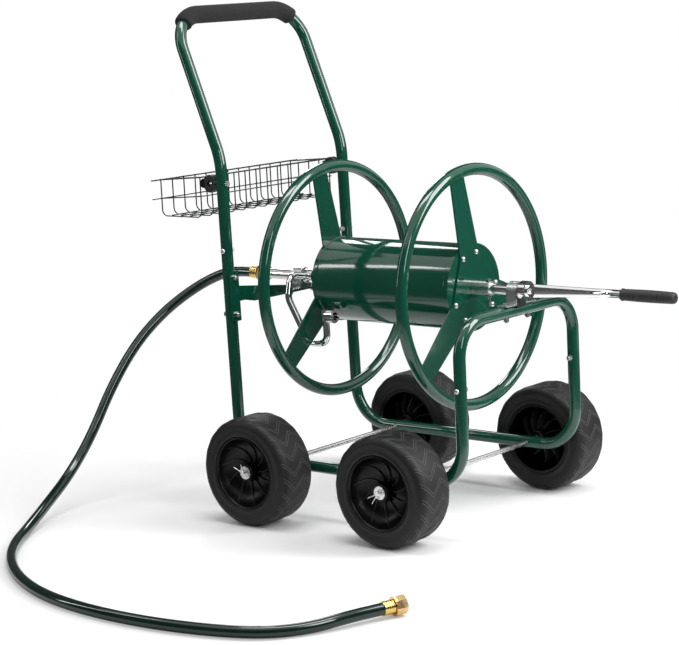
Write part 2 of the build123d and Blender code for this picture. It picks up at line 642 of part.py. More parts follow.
# Water inlet: the rear bearing, with seals inside and a threaded tail for the leader hose
inlet_front_x = rear_saddle_x + SADDLE_WIDTH / 2
inlet_rear_x = rear_saddle_x - SADDLE_WIDTH / 2
thread_rear_x = rear_saddle_x - INLET_TAIL
thread_front_x = thread_rear_x + INLET_THREAD_LENGTH
shaft_rear_x = inlet_rear_x + SADDLE_SHEET
seal_stations = [rear_saddle_x + step * SEAL_SPACING for step in (-0.5, 0.5)]
seal_radius = SEAL_WIRE_DIA / 2
seal_mid = journal_radius + seal_radius
with BuildPart() as inlet_body:
    with BuildSketch(reel_plane(inlet_rear_x)):
        Circle(BUSH_DIA / 2)
        with Locations((0, -(AXIS_Z - MEMBER_FLANGE_Z) / 2)):
            Rectangle(BUSH_DIA, AXIS_Z - MEMBER_FLANGE_Z)
    extrude(amount=SADDLE_WIDTH)
    with BuildSketch(reel_plane(thread_front_x)):
        Circle(INLET_NECK_DIA / 2)
    extrude(amount=inlet_rear_x - thread_front_x)
    with BuildSketch(reel_plane(thread_rear_x)):
        Circle(INLET_THREAD_DIA / 2)
    extrude(amount=INLET_THREAD_LENGTH)
    with BuildSketch(reel_plane(thread_rear_x)):
        Circle(INLET_BORE / 2)
    extrude(amount=inlet_front_x - thread_rear_x, mode=Mode.SUBTRACT)
    with BuildSketch(reel_plane(shaft_rear_x - SIDE_CLEARANCE)):
        Circle(journal_radius)
    extrude(amount=inlet_front_x - shaft_rear_x + SIDE_CLEARANCE, mode=Mode.SUBTRACT)
    for seal_x in seal_stations:
        with BuildSketch(reel_plane(seal_x - seal_radius - FIT_CLEARANCE)):
            Circle(seal_mid + seal_radius + FIT_CLEARANCE)
        extrude(amount=SEAL_WIRE_DIA + 2 * FIT_CLEARANCE, mode=Mode.SUBTRACT)
inlet_body.part.label = "inlet_body"
export_step(inlet_body.part, "parts/inlet_body.step")

with BuildPart() as inlet_seals:
    for seal_x in seal_stations:
        with BuildSketch(Plane(origin=(seal_x, 0, AXIS_Z), x_dir=(1, 0, 0), z_dir=(0, -1, 0))):
            with Locations((0, seal_mid)):
                Circle(seal_radius)
        revolve(axis=Axis((seal_x, 0, AXIS_Z), (1, 0, 0)))
inlet_seals.part.label = "inlet_seals"
export_step(inlet_seals.part, "parts/inlet_seals.step")

# Drum: a rolled sheet shell with raised end beads
drum_radius = DRUM_DIA / 2
bead_radius = drum_radius + DRUM_BEAD_RISE
drum_half = DRUM_LENGTH / 2
bead_start = drum_half - DRUM_BEAD_WIDTH
reel_axis = Axis((reel_x, 0, AXIS_Z), (1, 0, 0))
drum_outline = [
    (drum_half, drum_radius - DRUM_WALL),
    (drum_half, bead_radius),
    (bead_start, bead_radius),
    (bead_start - DRUM_BEAD_RISE, drum_radius),
]
with BuildPart() as drum_shell:
    with BuildSketch(Plane(origin=(reel_x, 0, AXIS_Z), x_dir=(1, 0, 0), z_dir=(0, -1, 0))):
        with BuildLine():
            Polyline(*drum_outline, *[(-x, r) for x, r in reversed(drum_outline)], close=True)
        make_face()
    revolve(axis=reel_axis)
drum_shell.part.label = "drum_shell"
export_step(drum_shell.part, "parts/drum_shell.step")

# Drum ends, three-armed spiders and tube rings, one set at each end of the drum
arm_angles = [SPIDER_ANGLE + 360 * arm / SPIDER_ARMS for arm in range(SPIDER_ARMS)]


def on_arm(angle, radius, offset):
    """A point on a spider arm: out along the arm, then square to it."""
    turn = radians(angle)
    return (radius * cos(turn) - offset * sin(turn), radius * sin(turn) + offset * cos(turn))


spider_bolt_spots = []
for angle in arm_angles:
    for step in (-0.5, 0.5):
        spider_bolt_spots.append(on_arm(angle, SPIDER_BOLT_RADIUS, step * SPIDER_BOLT_SPACING))
hub_corners = []
for angle in arm_angles:
    for step in (-0.5, 0.5):
        hub_corners.append(on_arm(angle, ARM_HUB_RADIUS, step * ARM_HUB_WIDTH))
arm_end = ring_inner - FIT_CLEARANCE / 2
shaft_hole = shaft_radius + FIT_CLEARANCE
DRUM_ENDS = {"front": (drum_front_x, 1), "rear": (drum_rear_x, -1)}
spider_bolt_list = []
for end_name, (end_x, outward) in DRUM_ENDS.items():
    with BuildPart() as drum_end:
        cup_radius = drum_radius - DRUM_WALL - FIT_CLEARANCE
        with BuildSketch(reel_plane(end_x)):
            Circle(cup_radius)
            Circle(shaft_hole, mode=Mode.SUBTRACT)
            with Locations(*spider_bolt_spots):
                Circle(bolt_hole, mode=Mode.SUBTRACT)
        extrude(amount=-outward * DRUM_END_THICKNESS)
        with BuildSketch(reel_plane(end_x - outward * DRUM_END_THICKNESS)):
            Circle(cup_radius)
            Circle(cup_radius - DRUM_END_THICKNESS, mode=Mode.SUBTRACT)
        extrude(amount=-outward * DRUM_END_FLANGE)
    drum_end.part.label = f"drum_end_{end_name}"
    export_step(drum_end.part, f"parts/drum_end_{end_name}.step")

    with BuildPart() as spider:
        with BuildSketch(reel_plane(end_x)):
            with BuildLine():
                Polyline(*hub_corners, close=True)
            make_face()
            for angle in arm_angles:
                arm_corners = [
                    on_arm(angle, ARM_HUB_RADIUS, -ARM_HUB_WIDTH / 2),
                    on_arm(angle, ring_radius, -ARM_RING_WIDTH / 2),
                    on_arm(angle, ring_radius, ARM_RING_WIDTH / 2),
                    on_arm(angle, ARM_HUB_RADIUS, ARM_HUB_WIDTH / 2),
                ]
                with BuildLine():
                    Polyline(*arm_corners, close=True)
                make_face()
            Circle(arm_end, mode=Mode.INTERSECT)
            Circle(shaft_hole, mode=Mode.SUBTRACT)
            with Locations(*spider_bolt_spots):
                Circle(bolt_hole, mode=Mode.SUBTRACT)
        extrude(amount=outward * SPIDER_THICKNESS)
    spider.part.label = f"spider_{end_name}"
    export_step(spider.part, f"parts/spider_{end_name}.step")

    ring_x = end_x + outward * SPIDER_THICKNESS / 2
    with BuildPart() as ring:
        with BuildSketch(Plane(origin=(ring_x, 0, AXIS_Z), x_dir=(1, 0, 0), z_dir=(0, -1, 0))):
            with Locations((0, ring_radius)):
                Circle(RING_TUBE_DIA / 2)
                Circle(RING_TUBE_DIA / 2 - RING_TUBE_WALL, mode=Mode.SUBTRACT)
        revolve(axis=reel_axis)
        vent_heading = Vector(0, cos(radians(SPIDER_ANGLE)), sin(radians(SPIDER_ANGLE)))
        vent_plane = Plane(origin=(ring_x, 0, AXIS_Z), z_dir=vent_heading)
        with BuildSketch(vent_plane.offset(ring_inner - RING_TUBE_WALL)):
            Circle(RING_VENT_DIA / 2)
        extrude(amount=3 * RING_TUBE_WALL, mode=Mode.SUBTRACT)
    ring.part.label = f"ring_{end_name}"
    export_step(ring.part, f"parts/ring_{end_name}.step")

    for y, z in spider_bolt_spots:
        seat = (end_x + outward * SPIDER_THICKNESS, y, AXIS_Z + z)
        spider_bolt_list += hex_bolt(seat, (-outward, 0, 0), SPIDER_THICKNESS + DRUM_END_THICKNESS)
with BuildPart() as spider_bolts:
    add(spider_bolt_list)
spider_bolts.part.label = "spider_bolts"
export_step(spider_bolts.part, "parts/spider_bolts.step")

# Shaft: hollow behind the tee, where the water enters, and solid ahead of it
tee_rear_x = inlet_front_x + TEE_GAP
tee_x = tee_rear_x + TEE_LENGTH / 2
crank_x = front_leg_x + CRANK_PLANE
hub_front_x = crank_x + CRANK_HUB_LENGTH / 2
sleeve_start_x = drum_front_x + SPIDER_THICKNESS
sleeve_end_x = sleeve_start_x + SLEEVE_LENGTH
sleeve_bolt_x = sleeve_end_x - SLEEVE_BOLT_INSET

# Bent pipe from the tee to the hose outlet: offsets from the tee, then from the rear end of the drum
GOOSENECK_DROP = [(0, -60, 10), (6, -76, -32)]
GOOSENECK_HOOK = [(-16, -78, -116), (31, -80, -112), (26, -76, -71)]
GOOSENECK_RADII = [20.0, 40.0, 22.0, 17.0]
tee_centre = Vector(tee_x, 0, AXIS_Z)
drum_rear_centre = Vector(drum_rear_x, 0, AXIS_Z)
gooseneck_corners = [tee_centre + Vector(*offset) for offset in GOOSENECK_DROP]
gooseneck_corners += [drum_rear_centre + Vector(*offset) for offset in GOOSENECK_HOOK]
branch_heading = (gooseneck_corners[0] - tee_centre).normalized()
branch_end = tee_centre + branch_heading * TEE_BRANCH_REACH
branch_plane = Plane(origin=tee_centre, z_dir=branch_heading)

with BuildPart() as reel_shaft:
    with BuildSketch(reel_plane(shaft_rear_x)):
        Circle(shaft_radius)
    extrude(amount=hub_front_x - shaft_rear_x)
    with BuildSketch(reel_plane(shaft_rear_x)):
        Circle(SHAFT_BORE / 2)
    extrude(amount=tee_x + SHAFT_BORE / 2 - shaft_rear_x, mode=Mode.SUBTRACT)
    with BuildSketch(branch_plane):
        Circle(GOOSENECK_BORE / 2)
    extrude(amount=SHAFT_DIA, mode=Mode.SUBTRACT)
    with BuildSketch(Plane(origin=(sleeve_bolt_x, 0, AXIS_Z), z_dir=(0, 0, 1))):
        Circle(bolt_hole)
    extrude(amount=SHAFT_DIA, both=True, mode=Mode.SUBTRACT)
reel_shaft.part.label = "reel_shaft"
export_step(reel_shaft.part, "parts/reel_shaft.step")

# Drive sleeve on the front spider, pinned to the shaft by an upright bolt
with BuildPart() as drive_sleeve:
    with BuildSketch(reel_plane(sleeve_start_x)):
        Circle(SLEEVE_DIA / 2)
        Circle(shaft_hole, mode=Mode.SUBTRACT)
    extrude(amount=SLEEVE_LENGTH)
    with BuildSketch(Plane(origin=(sleeve_bolt_x, 0, AXIS_Z), z_dir=(0, 0, 1))):
        Circle(bolt_hole)
    extrude(amount=SLEEVE_DIA, both=True, mode=Mode.SUBTRACT)
drive_sleeve.part.label = "drive_sleeve"
export_step(drive_sleeve.part, "parts/drive_sleeve.step")

with BuildPart() as sleeve_bolt:
    add(
        hex_bolt(
            (sleeve_bolt_x, 0, AXIS_Z + SLEEVE_DIA / 2),
            (0, 0, -1),
            SLEEVE_DIA,
            tail=SLEEVE_BOLT_TAIL - SLEEVE_DIA / 2,
        )
    )
sleeve_bolt.part.label = "sleeve_bolt"
export_step(sleeve_bolt.part, "parts/sleeve_bolt.step")

# Water tee, gooseneck pipe and threaded hose outlet
with BuildPart() as water_tee:
    with BuildSketch(reel_plane(tee_rear_x)):
        Circle(TEE_DIA / 2)
    extrude(amount=TEE_LENGTH)
    with BuildSketch(branch_plane):
        Circle(TEE_BRANCH_DIA / 2)
    extrude(amount=TEE_BRANCH_REACH)
    with BuildSketch(reel_plane(tee_rear_x)):
        Circle(shaft_hole)
    extrude(amount=TEE_LENGTH, mode=Mode.SUBTRACT)
    with BuildSketch(branch_plane):
        Circle(GOOSENECK_BORE / 2)
    extrude(amount=TEE_BRANCH_REACH, mode=Mode.SUBTRACT)
water_tee.part.label = "water_tee"
export_step(water_tee.part, "parts/water_tee.step")

with BuildPart() as gooseneck_pipe:
    with BuildLine() as gooseneck_path:
        FilletPolyline(branch_end, *gooseneck_corners, radius=GOOSENECK_RADII)
    with BuildSketch(Plane(origin=gooseneck_path.line @ 0, z_dir=gooseneck_path.line % 0)):
        Circle(GOOSENECK_DIA / 2)
        Circle(GOOSENECK_BORE / 2, mode=Mode.SUBTRACT)
    sweep()
gooseneck_pipe.part.label = "gooseneck_pipe"
export_step(gooseneck_pipe.part, "parts/gooseneck_pipe.step")

elbow_heading = (gooseneck_corners[-1] - gooseneck_corners[-2]).normalized()
elbow_plane = Plane(origin=gooseneck_corners[-1], z_dir=elbow_heading)
elbow_centre = gooseneck_corners[-1] + elbow_heading * (OUTLET_BODY_LENGTH / 2)
outlet_plane = Plane(origin=elbow_centre, x_dir=(0, 1, 0), z_dir=(1, 0, 0))
thread_start = OUTLET_BODY_DIA / 2
outlet_reach = thread_start + OUTLET_THREAD_LENGTH
with BuildPart() as hose_outlet:
    with BuildSketch(elbow_plane):
        Circle(OUTLET_BODY_DIA / 2)
    extrude(amount=OUTLET_BODY_LENGTH)
    with BuildSketch(outlet_plane):
        Circle(OUTLET_BODY_DIA / 2)
    extrude(amount=thread_start)
    with BuildSketch(outlet_plane.offset(thread_start)):
        Circle(OUTLET_THREAD_DIA / 2)
    extrude(amount=OUTLET_THREAD_LENGTH)
    with BuildSketch(elbow_plane):
        Circle(GOOSENECK_BORE / 2)
    extrude(amount=OUTLET_BODY_LENGTH / 2, mode=Mode.SUBTRACT)
    with BuildSketch(outlet_plane):
        Circle(OUTLET_BORE / 2)
    extrude(amount=outlet_reach, mode=Mode.SUBTRACT)
hose_outlet.part.label = "hose_outlet"
export_step(hose_outlet.part, "parts/hose_outlet.step")

# Crank: a hub on the shaft, a flattened arm that turns along X, and a spindle for the grip
crank_turn = radians(CRANK_ANGLE)
arm_heading = Vector(0, cos(crank_turn), sin(crank_turn))
crank_centre = Vector(crank_x, 0, AXIS_Z)
arm_straight_end = CRANK_RADIUS - CRANK_BEND_RADIUS - CRANK_TUBE_DIA / 2
arm_tip = crank_centre + arm_heading * CRANK_RADIUS
spindle_base = arm_tip + Vector(CRANK_STRAIGHT, 0, 0)
bend_points = [crank_centre + arm_heading * arm_straight_end, arm_tip, spindle_base]
spindle_plane = Plane(origin=spindle_base, z_dir=(1, 0, 0))
spindle_length = GRIP_LENGTH - GRIP_END_WALL
with BuildPart() as crank_arm:
    taper_start = crank_centre + arm_heading * CRANK_TAPER_START
    with BuildSketch(Plane(origin=taper_start, x_dir=(1, 0, 0), z_dir=arm_heading)):
        Ellipse(CRANK_ARM_DEPTH / 2, CRANK_ARM_WIDTH / 2)
    with BuildSketch(Plane(origin=bend_points[0], x_dir=(1, 0, 0), z_dir=arm_heading)):
        Circle(CRANK_TUBE_DIA / 2)
    loft()
    with BuildLine() as bend_path:
        FilletPolyline(*bend_points, radius=CRANK_BEND_RADIUS)
    with BuildSketch(Plane(origin=bend_path.line @ 0, z_dir=bend_path.line % 0)):
        Circle(CRANK_TUBE_DIA / 2)
    sweep()
    with BuildSketch(spindle_plane):
        Circle(SPINDLE_DIA / 2)
    extrude(amount=spindle_length)
    with BuildSketch(reel_plane(crank_x - CRANK_HUB_LENGTH / 2)):
        Circle(CRANK_HUB_DIA / 2)
    extrude(amount=CRANK_HUB_LENGTH)
    with BuildSketch(reel_plane(crank_x - CRANK_HUB_LENGTH / 2)):
        Circle(shaft_hole)
    extrude(amount=CRANK_HUB_LENGTH, mode=Mode.SUBTRACT)
crank_arm.part.label = "crank_arm"
export_step(crank_arm.part, "parts/crank_arm.step")

with BuildPart() as crank_cap:
    with BuildSketch(reel_plane(hub_front_x)):
        Circle(CRANK_CAP_DIA / 2)
    extrude(amount=CRANK_CAP_THICKNESS)
    with BuildSketch(reel_plane(hub_front_x + CRANK_CAP_THICKNESS)):
        RegularPolygon(BOLT_HEAD_DIA / 2, 6)
    extrude(amount=BOLT_HEAD_HEIGHT)
crank_cap.part.label = "crank_cap"
export_step(crank_cap.part, "parts/crank_cap.step")

# Crank grip: a rubber sleeve, closed at its end, that turns on the spindle
with BuildPart() as crank_grip:
    with BuildSketch(spindle_plane.offset(SIDE_CLEARANCE)):
        Circle(GRIP_DIA / 2)
    extrude(amount=GRIP_LENGTH)
    fillet(crank_grip.faces().sort_by(Axis.X)[-1].edges(), radius=GRIP_END_FILLET)
    with BuildSketch(spindle_plane.offset(SIDE_CLEARANCE)):
        Circle(SPINDLE_DIA / 2 + RUN_CLEARANCE)
    extrude(amount=spindle_length, mode=Mode.SUBTRACT)
crank_grip.part.label = "crank_grip"
export_step(crank_grip.part, "parts/crank_grip.step")

# Wire basket: five flat grilles, each one holed face
basket_front_x = rear_leg_x(CLIP_Z) - BASKET_STANDOFF
basket_back_x = basket_front_x - BASKET_DEPTH
basket_height = BASKET_TOP_Z - BASKET_BOTTOM_Z
basket_mid_x = (basket_front_x + basket_back_x) / 2
basket_mid_z = (BASKET_BOTTOM_Z + BASKET_TOP_Z) / 2
end_y = BASKET_LENGTH / 2 - BASKET_WIRE
inner_depth = BASKET_DEPTH - 2 * BASKET_WIRE
inner_length = BASKET_LENGTH - 2 * BASKET_WIRE
across = Vector(0, 1, 0)
along = Vector(1, 0, 0)
upward = Vector(0, 0, 1)
front_origin = (basket_front_x - BASKET_WIRE, 0, basket_mid_z)
back_origin = (basket_back_x, 0, basket_mid_z)
near_origin = (basket_mid_x, -end_y - BASKET_WIRE, basket_mid_z)
far_origin = (basket_mid_x, end_y, basket_mid_z)
floor_origin = (basket_mid_x, 0, BASKET_BOTTOM_Z)
GRILLES = {
    "basket_front": (front_origin, across, along, BASKET_LENGTH, basket_height),
    "basket_back": (back_origin, across, along, BASKET_LENGTH, basket_height),
    "basket_near_end": (near_origin, -along, across, inner_depth, basket_height),
    "basket_far_end": (far_origin, -along, across, inner_depth, basket_height),
    "basket_floor": (floor_origin, across, upward, inner_length, inner_depth),
}

# Room in the grilles for the clips' plates, bolts and nuts
clip_plate_x = basket_front_x - BASKET_WIRE
with BuildPart() as clip_room:
    for point in clip_bolt_points:
        with BuildSketch(Plane(origin=point, x_dir=(0, 1, 0), z_dir=(-1, 0, 0))):
            Circle(bolt_hole)
        extrude(amount=BASKET_STANDOFF + BASKET_WIRE)
        plate_plane = Plane(origin=(clip_plate_x, point.Y, CLIP_Z), x_dir=(0, 1, 0), z_dir=(-1, 0, 0))
        with BuildSketch(plate_plane):
            Rectangle(CLIP_PLATE_WIDTH + 2 * SIDE_CLEARANCE, CLIP_HEIGHT + 2 * SIDE_CLEARANCE)
        extrude(amount=CLIP_PLATE + SIDE_CLEARANCE)
        with BuildSketch(plate_plane.offset(CLIP_PLATE)):
            Circle(BOLT_HEAD_DIA / 2 + SIDE_CLEARANCE)
        extrude(amount=BOLT_TAIL + SIDE_CLEARANCE)

for grille_name, (origin, x_dir, normal, width, height) in GRILLES.items():
    columns = BASKET_CROSS_COUNT if width == inner_depth else BASKET_COLUMN_COUNT
    rows = BASKET_CROSS_COUNT if height == inner_depth else BASKET_ROW_COUNT
    gap_width = (width - BASKET_WIRE) / columns - BASKET_WIRE
    gap_height = (height - BASKET_WIRE) / rows - BASKET_WIRE
    with BuildPart() as grille:
        with BuildSketch(Plane(origin=origin, x_dir=x_dir, z_dir=normal)):
            Rectangle(width, height)
            with GridLocations(gap_width + BASKET_WIRE, gap_height + BASKET_WIRE, columns, rows):
                Rectangle(gap_width, gap_height, mode=Mode.SUBTRACT)
        extrude(amount=BASKET_WIRE)
        add(clip_room.part, mode=Mode.SUBTRACT)
    grille.part.label = grille_name
    export_step(grille.part, f"parts/{grille_name}.step")

# Basket clips: an eyed block behind each rear leg and a plate inside the basket
clip_eye_x = basket_front_x + CLIP_EYE_DIA
with BuildPart() as basket_clips:
    for point in clip_bolt_points:
        block_middle = (point.X + basket_front_x) / 2
        block_corner = (block_middle, point.Y - CLIP_WIDTH / 2, CLIP_Z)
        with BuildSketch(Plane(origin=block_corner, x_dir=(-1, 0, 0), z_dir=(0, 1, 0))):
            Rectangle(BASKET_STANDOFF, CLIP_HEIGHT)
            fillet(vertices().group_by(Axis.X)[0], radius=CLIP_CORNER_RADIUS)
        extrude(amount=CLIP_WIDTH)
        with BuildSketch(Plane(origin=point - leg_axis * CLIP_HEIGHT, z_dir=leg_axis)):
            Circle(tube_radius + FIT_CLEARANCE)
        extrude(amount=2 * CLIP_HEIGHT, mode=Mode.SUBTRACT)
        with BuildSketch(Plane(origin=point, z_dir=(-1, 0, 0))):
            Circle(bolt_hole)
        extrude(amount=BASKET_STANDOFF, mode=Mode.SUBTRACT)
        with BuildSketch(Plane(origin=(clip_eye_x, point.Y, CLIP_Z), z_dir=(0, 1, 0))):
            Circle(CLIP_EYE_DIA / 2)
        extrude(amount=CLIP_WIDTH, both=True, mode=Mode.SUBTRACT)
    for point in clip_bolt_points:
        with BuildSketch(Plane(origin=(clip_plate_x, point.Y, CLIP_Z), x_dir=(0, 1, 0), z_dir=(-1, 0, 0))):
            Rectangle(CLIP_PLATE_WIDTH, CLIP_HEIGHT)
            Circle(bolt_hole, mode=Mode.SUBTRACT)
        extrude(amount=CLIP_PLATE)
basket_clips.part.label = "basket_clips"
export_step(basket_clips.part, "parts/basket_clips.step")

clip_bolt_list = []
clip_seat = tube_radius / cos(radians(REAR_LEAN)) + BOLT_HEAD_DIA / 2 * lean_slope
clip_grip = clip_seat + BASKET_STANDOFF + BASKET_WIRE + CLIP_PLATE
for point in clip_bolt_points:
    clip_bolt_list += hex_bolt(point + Vector(clip_seat, 0, 0), (-1, 0, 0), clip_grip)
with BuildPart() as basket_clip_bolts:
    add(clip_bolt_list)
basket_clip_bolts.part.label = "basket_clip_bolts"
export_step(basket_clip_bolts.part, "parts/basket_clip_bolts.step")

# Hose couplings, measured outwards from the cut end of the hose
nut_start = FERRULE_LENGTH + SIDE_CLEARANCE
flange_start = nut_start + NUT_END_WALL + SIDE_CLEARANCE
washer_start = flange_start + COUPLING_FLANGE
washer_end = washer_start + COUPLING_WASHER


def coupling_ferrule(plane):
    """The barbed tail: a ferrule on the hose, a neck, and a flange that keeps the nut on."""
    with BuildPart() as ferrule:
        with BuildSketch(plane):
            Circle(FERRULE_DIA / 2)
        extrude(amount=FERRULE_LENGTH)
        with BuildSketch(plane.offset(FERRULE_LENGTH)):
            Circle(COUPLING_NECK_DIA / 2)
        extrude(amount=flange_start - FERRULE_LENGTH)
        with BuildSketch(plane.offset(flange_start)):
            Circle(COUPLING_FLANGE_DIA / 2)
        extrude(amount=COUPLING_FLANGE)
        with BuildSketch(plane):
            Circle(COUPLING_BORE / 2)
        extrude(amount=washer_start, mode=Mode.SUBTRACT)
    return ferrule.part


def coupling_nut(plane):
    """The nut: flats outside, a neck hole at the back, a relief, and a threaded mouth."""
    with BuildPart() as nut:
        with BuildSketch(plane.offset(nut_start)):
            RegularPolygon(NUT_DIA / 2, NUT_SIDES)
            Circle(COUPLING_NECK_DIA / 2 + RUN_CLEARANCE, mode=Mode.SUBTRACT)
        extrude(amount=NUT_LENGTH)
        with BuildSketch(plane.offset(nut_start + NUT_END_WALL)):
            Circle(NUT_RELIEF_DIA / 2)
        extrude(amount=washer_end - nut_start - NUT_END_WALL, mode=Mode.SUBTRACT)
        with BuildSketch(plane.offset(washer_end)):
            Circle(NUT_THREAD_DIA / 2)
        extrude(amount=NUT_LENGTH, mode=Mode.SUBTRACT)
    return nut.part


# Leader hose: offsets from the middle of the wheelbase along X, with Y and Z as they lie
hose_radius = HOSE_DIA / 2
lying_z = hose_radius + HOSE_FLOOR_GAP
mouth_z = NUT_DIA / 2 + SIDE_CLEARANCE
HOSE_RISE = [
    (-467, -15, 411),
    (-505, -47, 384),
    (-535, -97, 345),
    (-553, -158, 291),
    (-563, -221, 215),
    (-566, -280, 128),
    (-558, -352, 66),
    (-532, -438, 30),
]
HOSE_LOOP = [
    (-486, -530),
    (-420, -624),
    (-340, -702),
    (-245, -766),
    (-130, -814),
    (0, -834),
    (130, -830),
    (248, -806),
    (328, -770),
    (368, -712),
]
HOSE_MOUTH = [(393.7, -656.6), (413.5, -600.0)]
hose_start_x = thread_rear_x - washer_end - FIT_CLEARANCE
hose_points = [Vector(hose_start_x, 0, AXIS_Z), Vector(hose_start_x - HOSE_LEAD, 0, AXIS_Z)]
hose_points += [Vector(mid_x + x, y, z) for x, y, z in HOSE_RISE]
hose_points += [Vector(mid_x + x, y, lying_z) for x, y in HOSE_LOOP]
hose_points += [Vector(mid_x + x, y, mouth_z) for x, y in HOSE_MOUTH]
hose_radii = []
for before, corner, after in zip(hose_points, hose_points[1:], hose_points[2:]):
    turn = (corner - before).get_angle(after - corner)
    shorter = min((corner - before).length, (after - corner).length)
    hose_radii.append(HOSE_BEND_SHARE * shorter / tan(radians(turn / 2)))
print("hose radii", [round(radius) for radius in hose_radii])
with BuildPart() as leader_hose:
    with BuildLine() as hose_path:
        FilletPolyline(*hose_points, radius=hose_radii)
    with BuildSketch(Plane(origin=hose_path.line @ 0, z_dir=hose_path.line % 0)):
        Circle(hose_radius)
    sweep()
hose_length = sum(edge.length for edge in hose_path.edges())
hose_fill = leader_hose.part.volume / (pi * hose_radius**2 * hose_length)
print("hose length", round(hose_length), "volume against section times length", round(hose_fill, 4))
leader_hose.part.label = "leader_hose"
export_step(leader_hose.part, "parts/leader_hose.step")

inlet_plane = Plane(origin=hose_points[0], z_dir=(1, 0, 0))
mouth_heading = hose_points[-1] - hose_points[-2]
mouth_plane = Plane(origin=hose_points[-1], z_dir=mouth_heading)

inlet_ferrule = coupling_ferrule(inlet_plane)
inlet_ferrule.label = "inlet_ferrule"
export_step(inlet_ferrule, "parts/inlet_ferrule.step")

inlet_nut = coupling_nut(inlet_plane)
inlet_nut.label = "inlet_nut"
export_step(inlet_nut, "parts/inlet_nut.step")

hose_ferrule = coupling_ferrule(mouth_plane)
hose_ferrule.label = "hose_ferrule"
export_step(hose_ferrule, "parts/hose_ferrule.step")

hose_end_nut = coupling_nut(mouth_plane)
hose_end_nut.label = "hose_end_nut"
export_step(hose_end_nut, "parts/hose_end_nut.step")

with BuildPart() as coupling_washers:
    for washer_plane in (inlet_plane, mouth_plane):
        with BuildSketch(washer_plane.offset(washer_start)):
            Circle(COUPLING_FLANGE_DIA / 2)
            Circle(COUPLING_BORE / 2, mode=Mode.SUBTRACT)
        extrude(amount=COUPLING_WASHER)
coupling_washers.part.label = "coupling_washers"
export_step(coupling_washers.part, "parts/coupling_washers.step")
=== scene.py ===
# %% [markdown]
# A garden hose reel cart: a green tube frame on four wide wheels, a hand-cranked drum between two
# tube rings, a wire basket behind the legs and a short leader hose on the floor.
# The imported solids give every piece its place, so the scene dresses them: it keeps the solids whose
# shape is right and stands finer pieces over the ones that the eye lands on.

# %% Load the frame
import json
import math
import bpy
import bmesh
from mathutils import Matrix, Vector


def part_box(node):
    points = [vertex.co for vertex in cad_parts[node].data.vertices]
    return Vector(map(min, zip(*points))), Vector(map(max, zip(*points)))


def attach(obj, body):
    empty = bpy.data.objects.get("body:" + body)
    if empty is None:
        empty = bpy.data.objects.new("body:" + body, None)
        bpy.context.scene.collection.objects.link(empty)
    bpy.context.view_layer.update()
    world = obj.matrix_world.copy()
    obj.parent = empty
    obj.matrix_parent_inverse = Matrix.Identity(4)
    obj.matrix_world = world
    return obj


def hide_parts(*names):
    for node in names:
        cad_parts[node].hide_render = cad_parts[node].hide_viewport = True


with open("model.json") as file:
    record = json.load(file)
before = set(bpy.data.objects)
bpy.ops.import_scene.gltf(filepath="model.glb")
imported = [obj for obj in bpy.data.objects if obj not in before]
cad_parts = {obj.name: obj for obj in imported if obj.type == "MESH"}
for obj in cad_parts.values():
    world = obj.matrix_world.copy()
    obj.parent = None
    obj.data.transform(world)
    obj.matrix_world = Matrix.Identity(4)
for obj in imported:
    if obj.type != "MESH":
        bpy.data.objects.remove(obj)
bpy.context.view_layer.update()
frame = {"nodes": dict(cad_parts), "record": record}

nodes = frame["nodes"]

# %% [markdown]
# The camera stands off the near front corner, a little above the drum, with a long lens.
# A long lens keeps the rings nearly round, as the eye sees them from across a yard. The photograph
# leans by under three degrees, so the camera is rolled by that much and needs no shift.

# %% Camera
IMAGE_WIDTH = 679
FOCAL_PIXELS = 2111.7
CAMERA_PLACE = Vector((2.42335, -3.0612, 0.9928))
CAMERA_TURN = math.radians(40.17)
CAMERA_RISE = math.radians(9.27)
CAMERA_ROLL = math.radians(-2.77)


def add_object(name, data):
    piece = bpy.data.objects.new(name, data)
    bpy.context.scene.collection.objects.link(piece)
    return piece


camera_data = bpy.data.cameras.new("camera")
camera_data.sensor_width = 36.0
camera_data.lens = FOCAL_PIXELS / IMAGE_WIDTH * camera_data.sensor_width
camera_data.clip_end = 60
camera = add_object("camera", camera_data)
camera_tilt = Matrix.Rotation(math.pi / 2 - CAMERA_RISE, 4, "X") @ Matrix.Rotation(CAMERA_ROLL, 4, "Z")
camera_turn = Matrix.Rotation(CAMERA_TURN, 4, "Z") @ camera_tilt
camera.matrix_world = Matrix.Translation(CAMERA_PLACE) @ camera_turn
bpy.context.scene.camera = camera
bpy.context.scene.view_settings.view_transform = "Standard"
print("lens", round(camera_data.lens, 1), "mm")

# %% [markdown]
# The leader hose is stiff garden hose. It leaves the inlet level, falls in one long curve beside the
# rear leg, and lies on the floor in a wide loop that ends in a brass coupling. A NURBS curve with the
# route's points as its control points bends as a hose does, with no straight runs and no kinks.

# %% Leader hose
MID_X = -0.0094757
HOSE_START = Vector((-0.3802, 0, 0.426))
HOSE_LEAD = 0.053
HOSE_DIA = 0.020
LYING_Z = 0.0104
MOUTH_Z = 0.0169
HOSE_RISE = [
    (-0.467, -0.015, 0.411), (-0.505, -0.047, 0.384), (-0.535, -0.097, 0.345),
    (-0.553, -0.158, 0.291), (-0.563, -0.221, 0.215), (-0.566, -0.280, 0.128),
    (-0.558, -0.352, 0.066), (-0.532, -0.438, 0.030),
]
HOSE_LOOP = [
    (-0.486, -0.530), (-0.420, -0.624), (-0.340, -0.702), (-0.245, -0.766), (-0.130, -0.814),
    (0.000, -0.834), (0.130, -0.830), (0.248, -0.806), (0.328, -0.770), (0.368, -0.712),
]
HOSE_MOUTH = [(0.3937, -0.6566), (0.4135, -0.6000)]
hose_route = [HOSE_START, HOSE_START - Vector((HOSE_LEAD, 0, 0))]
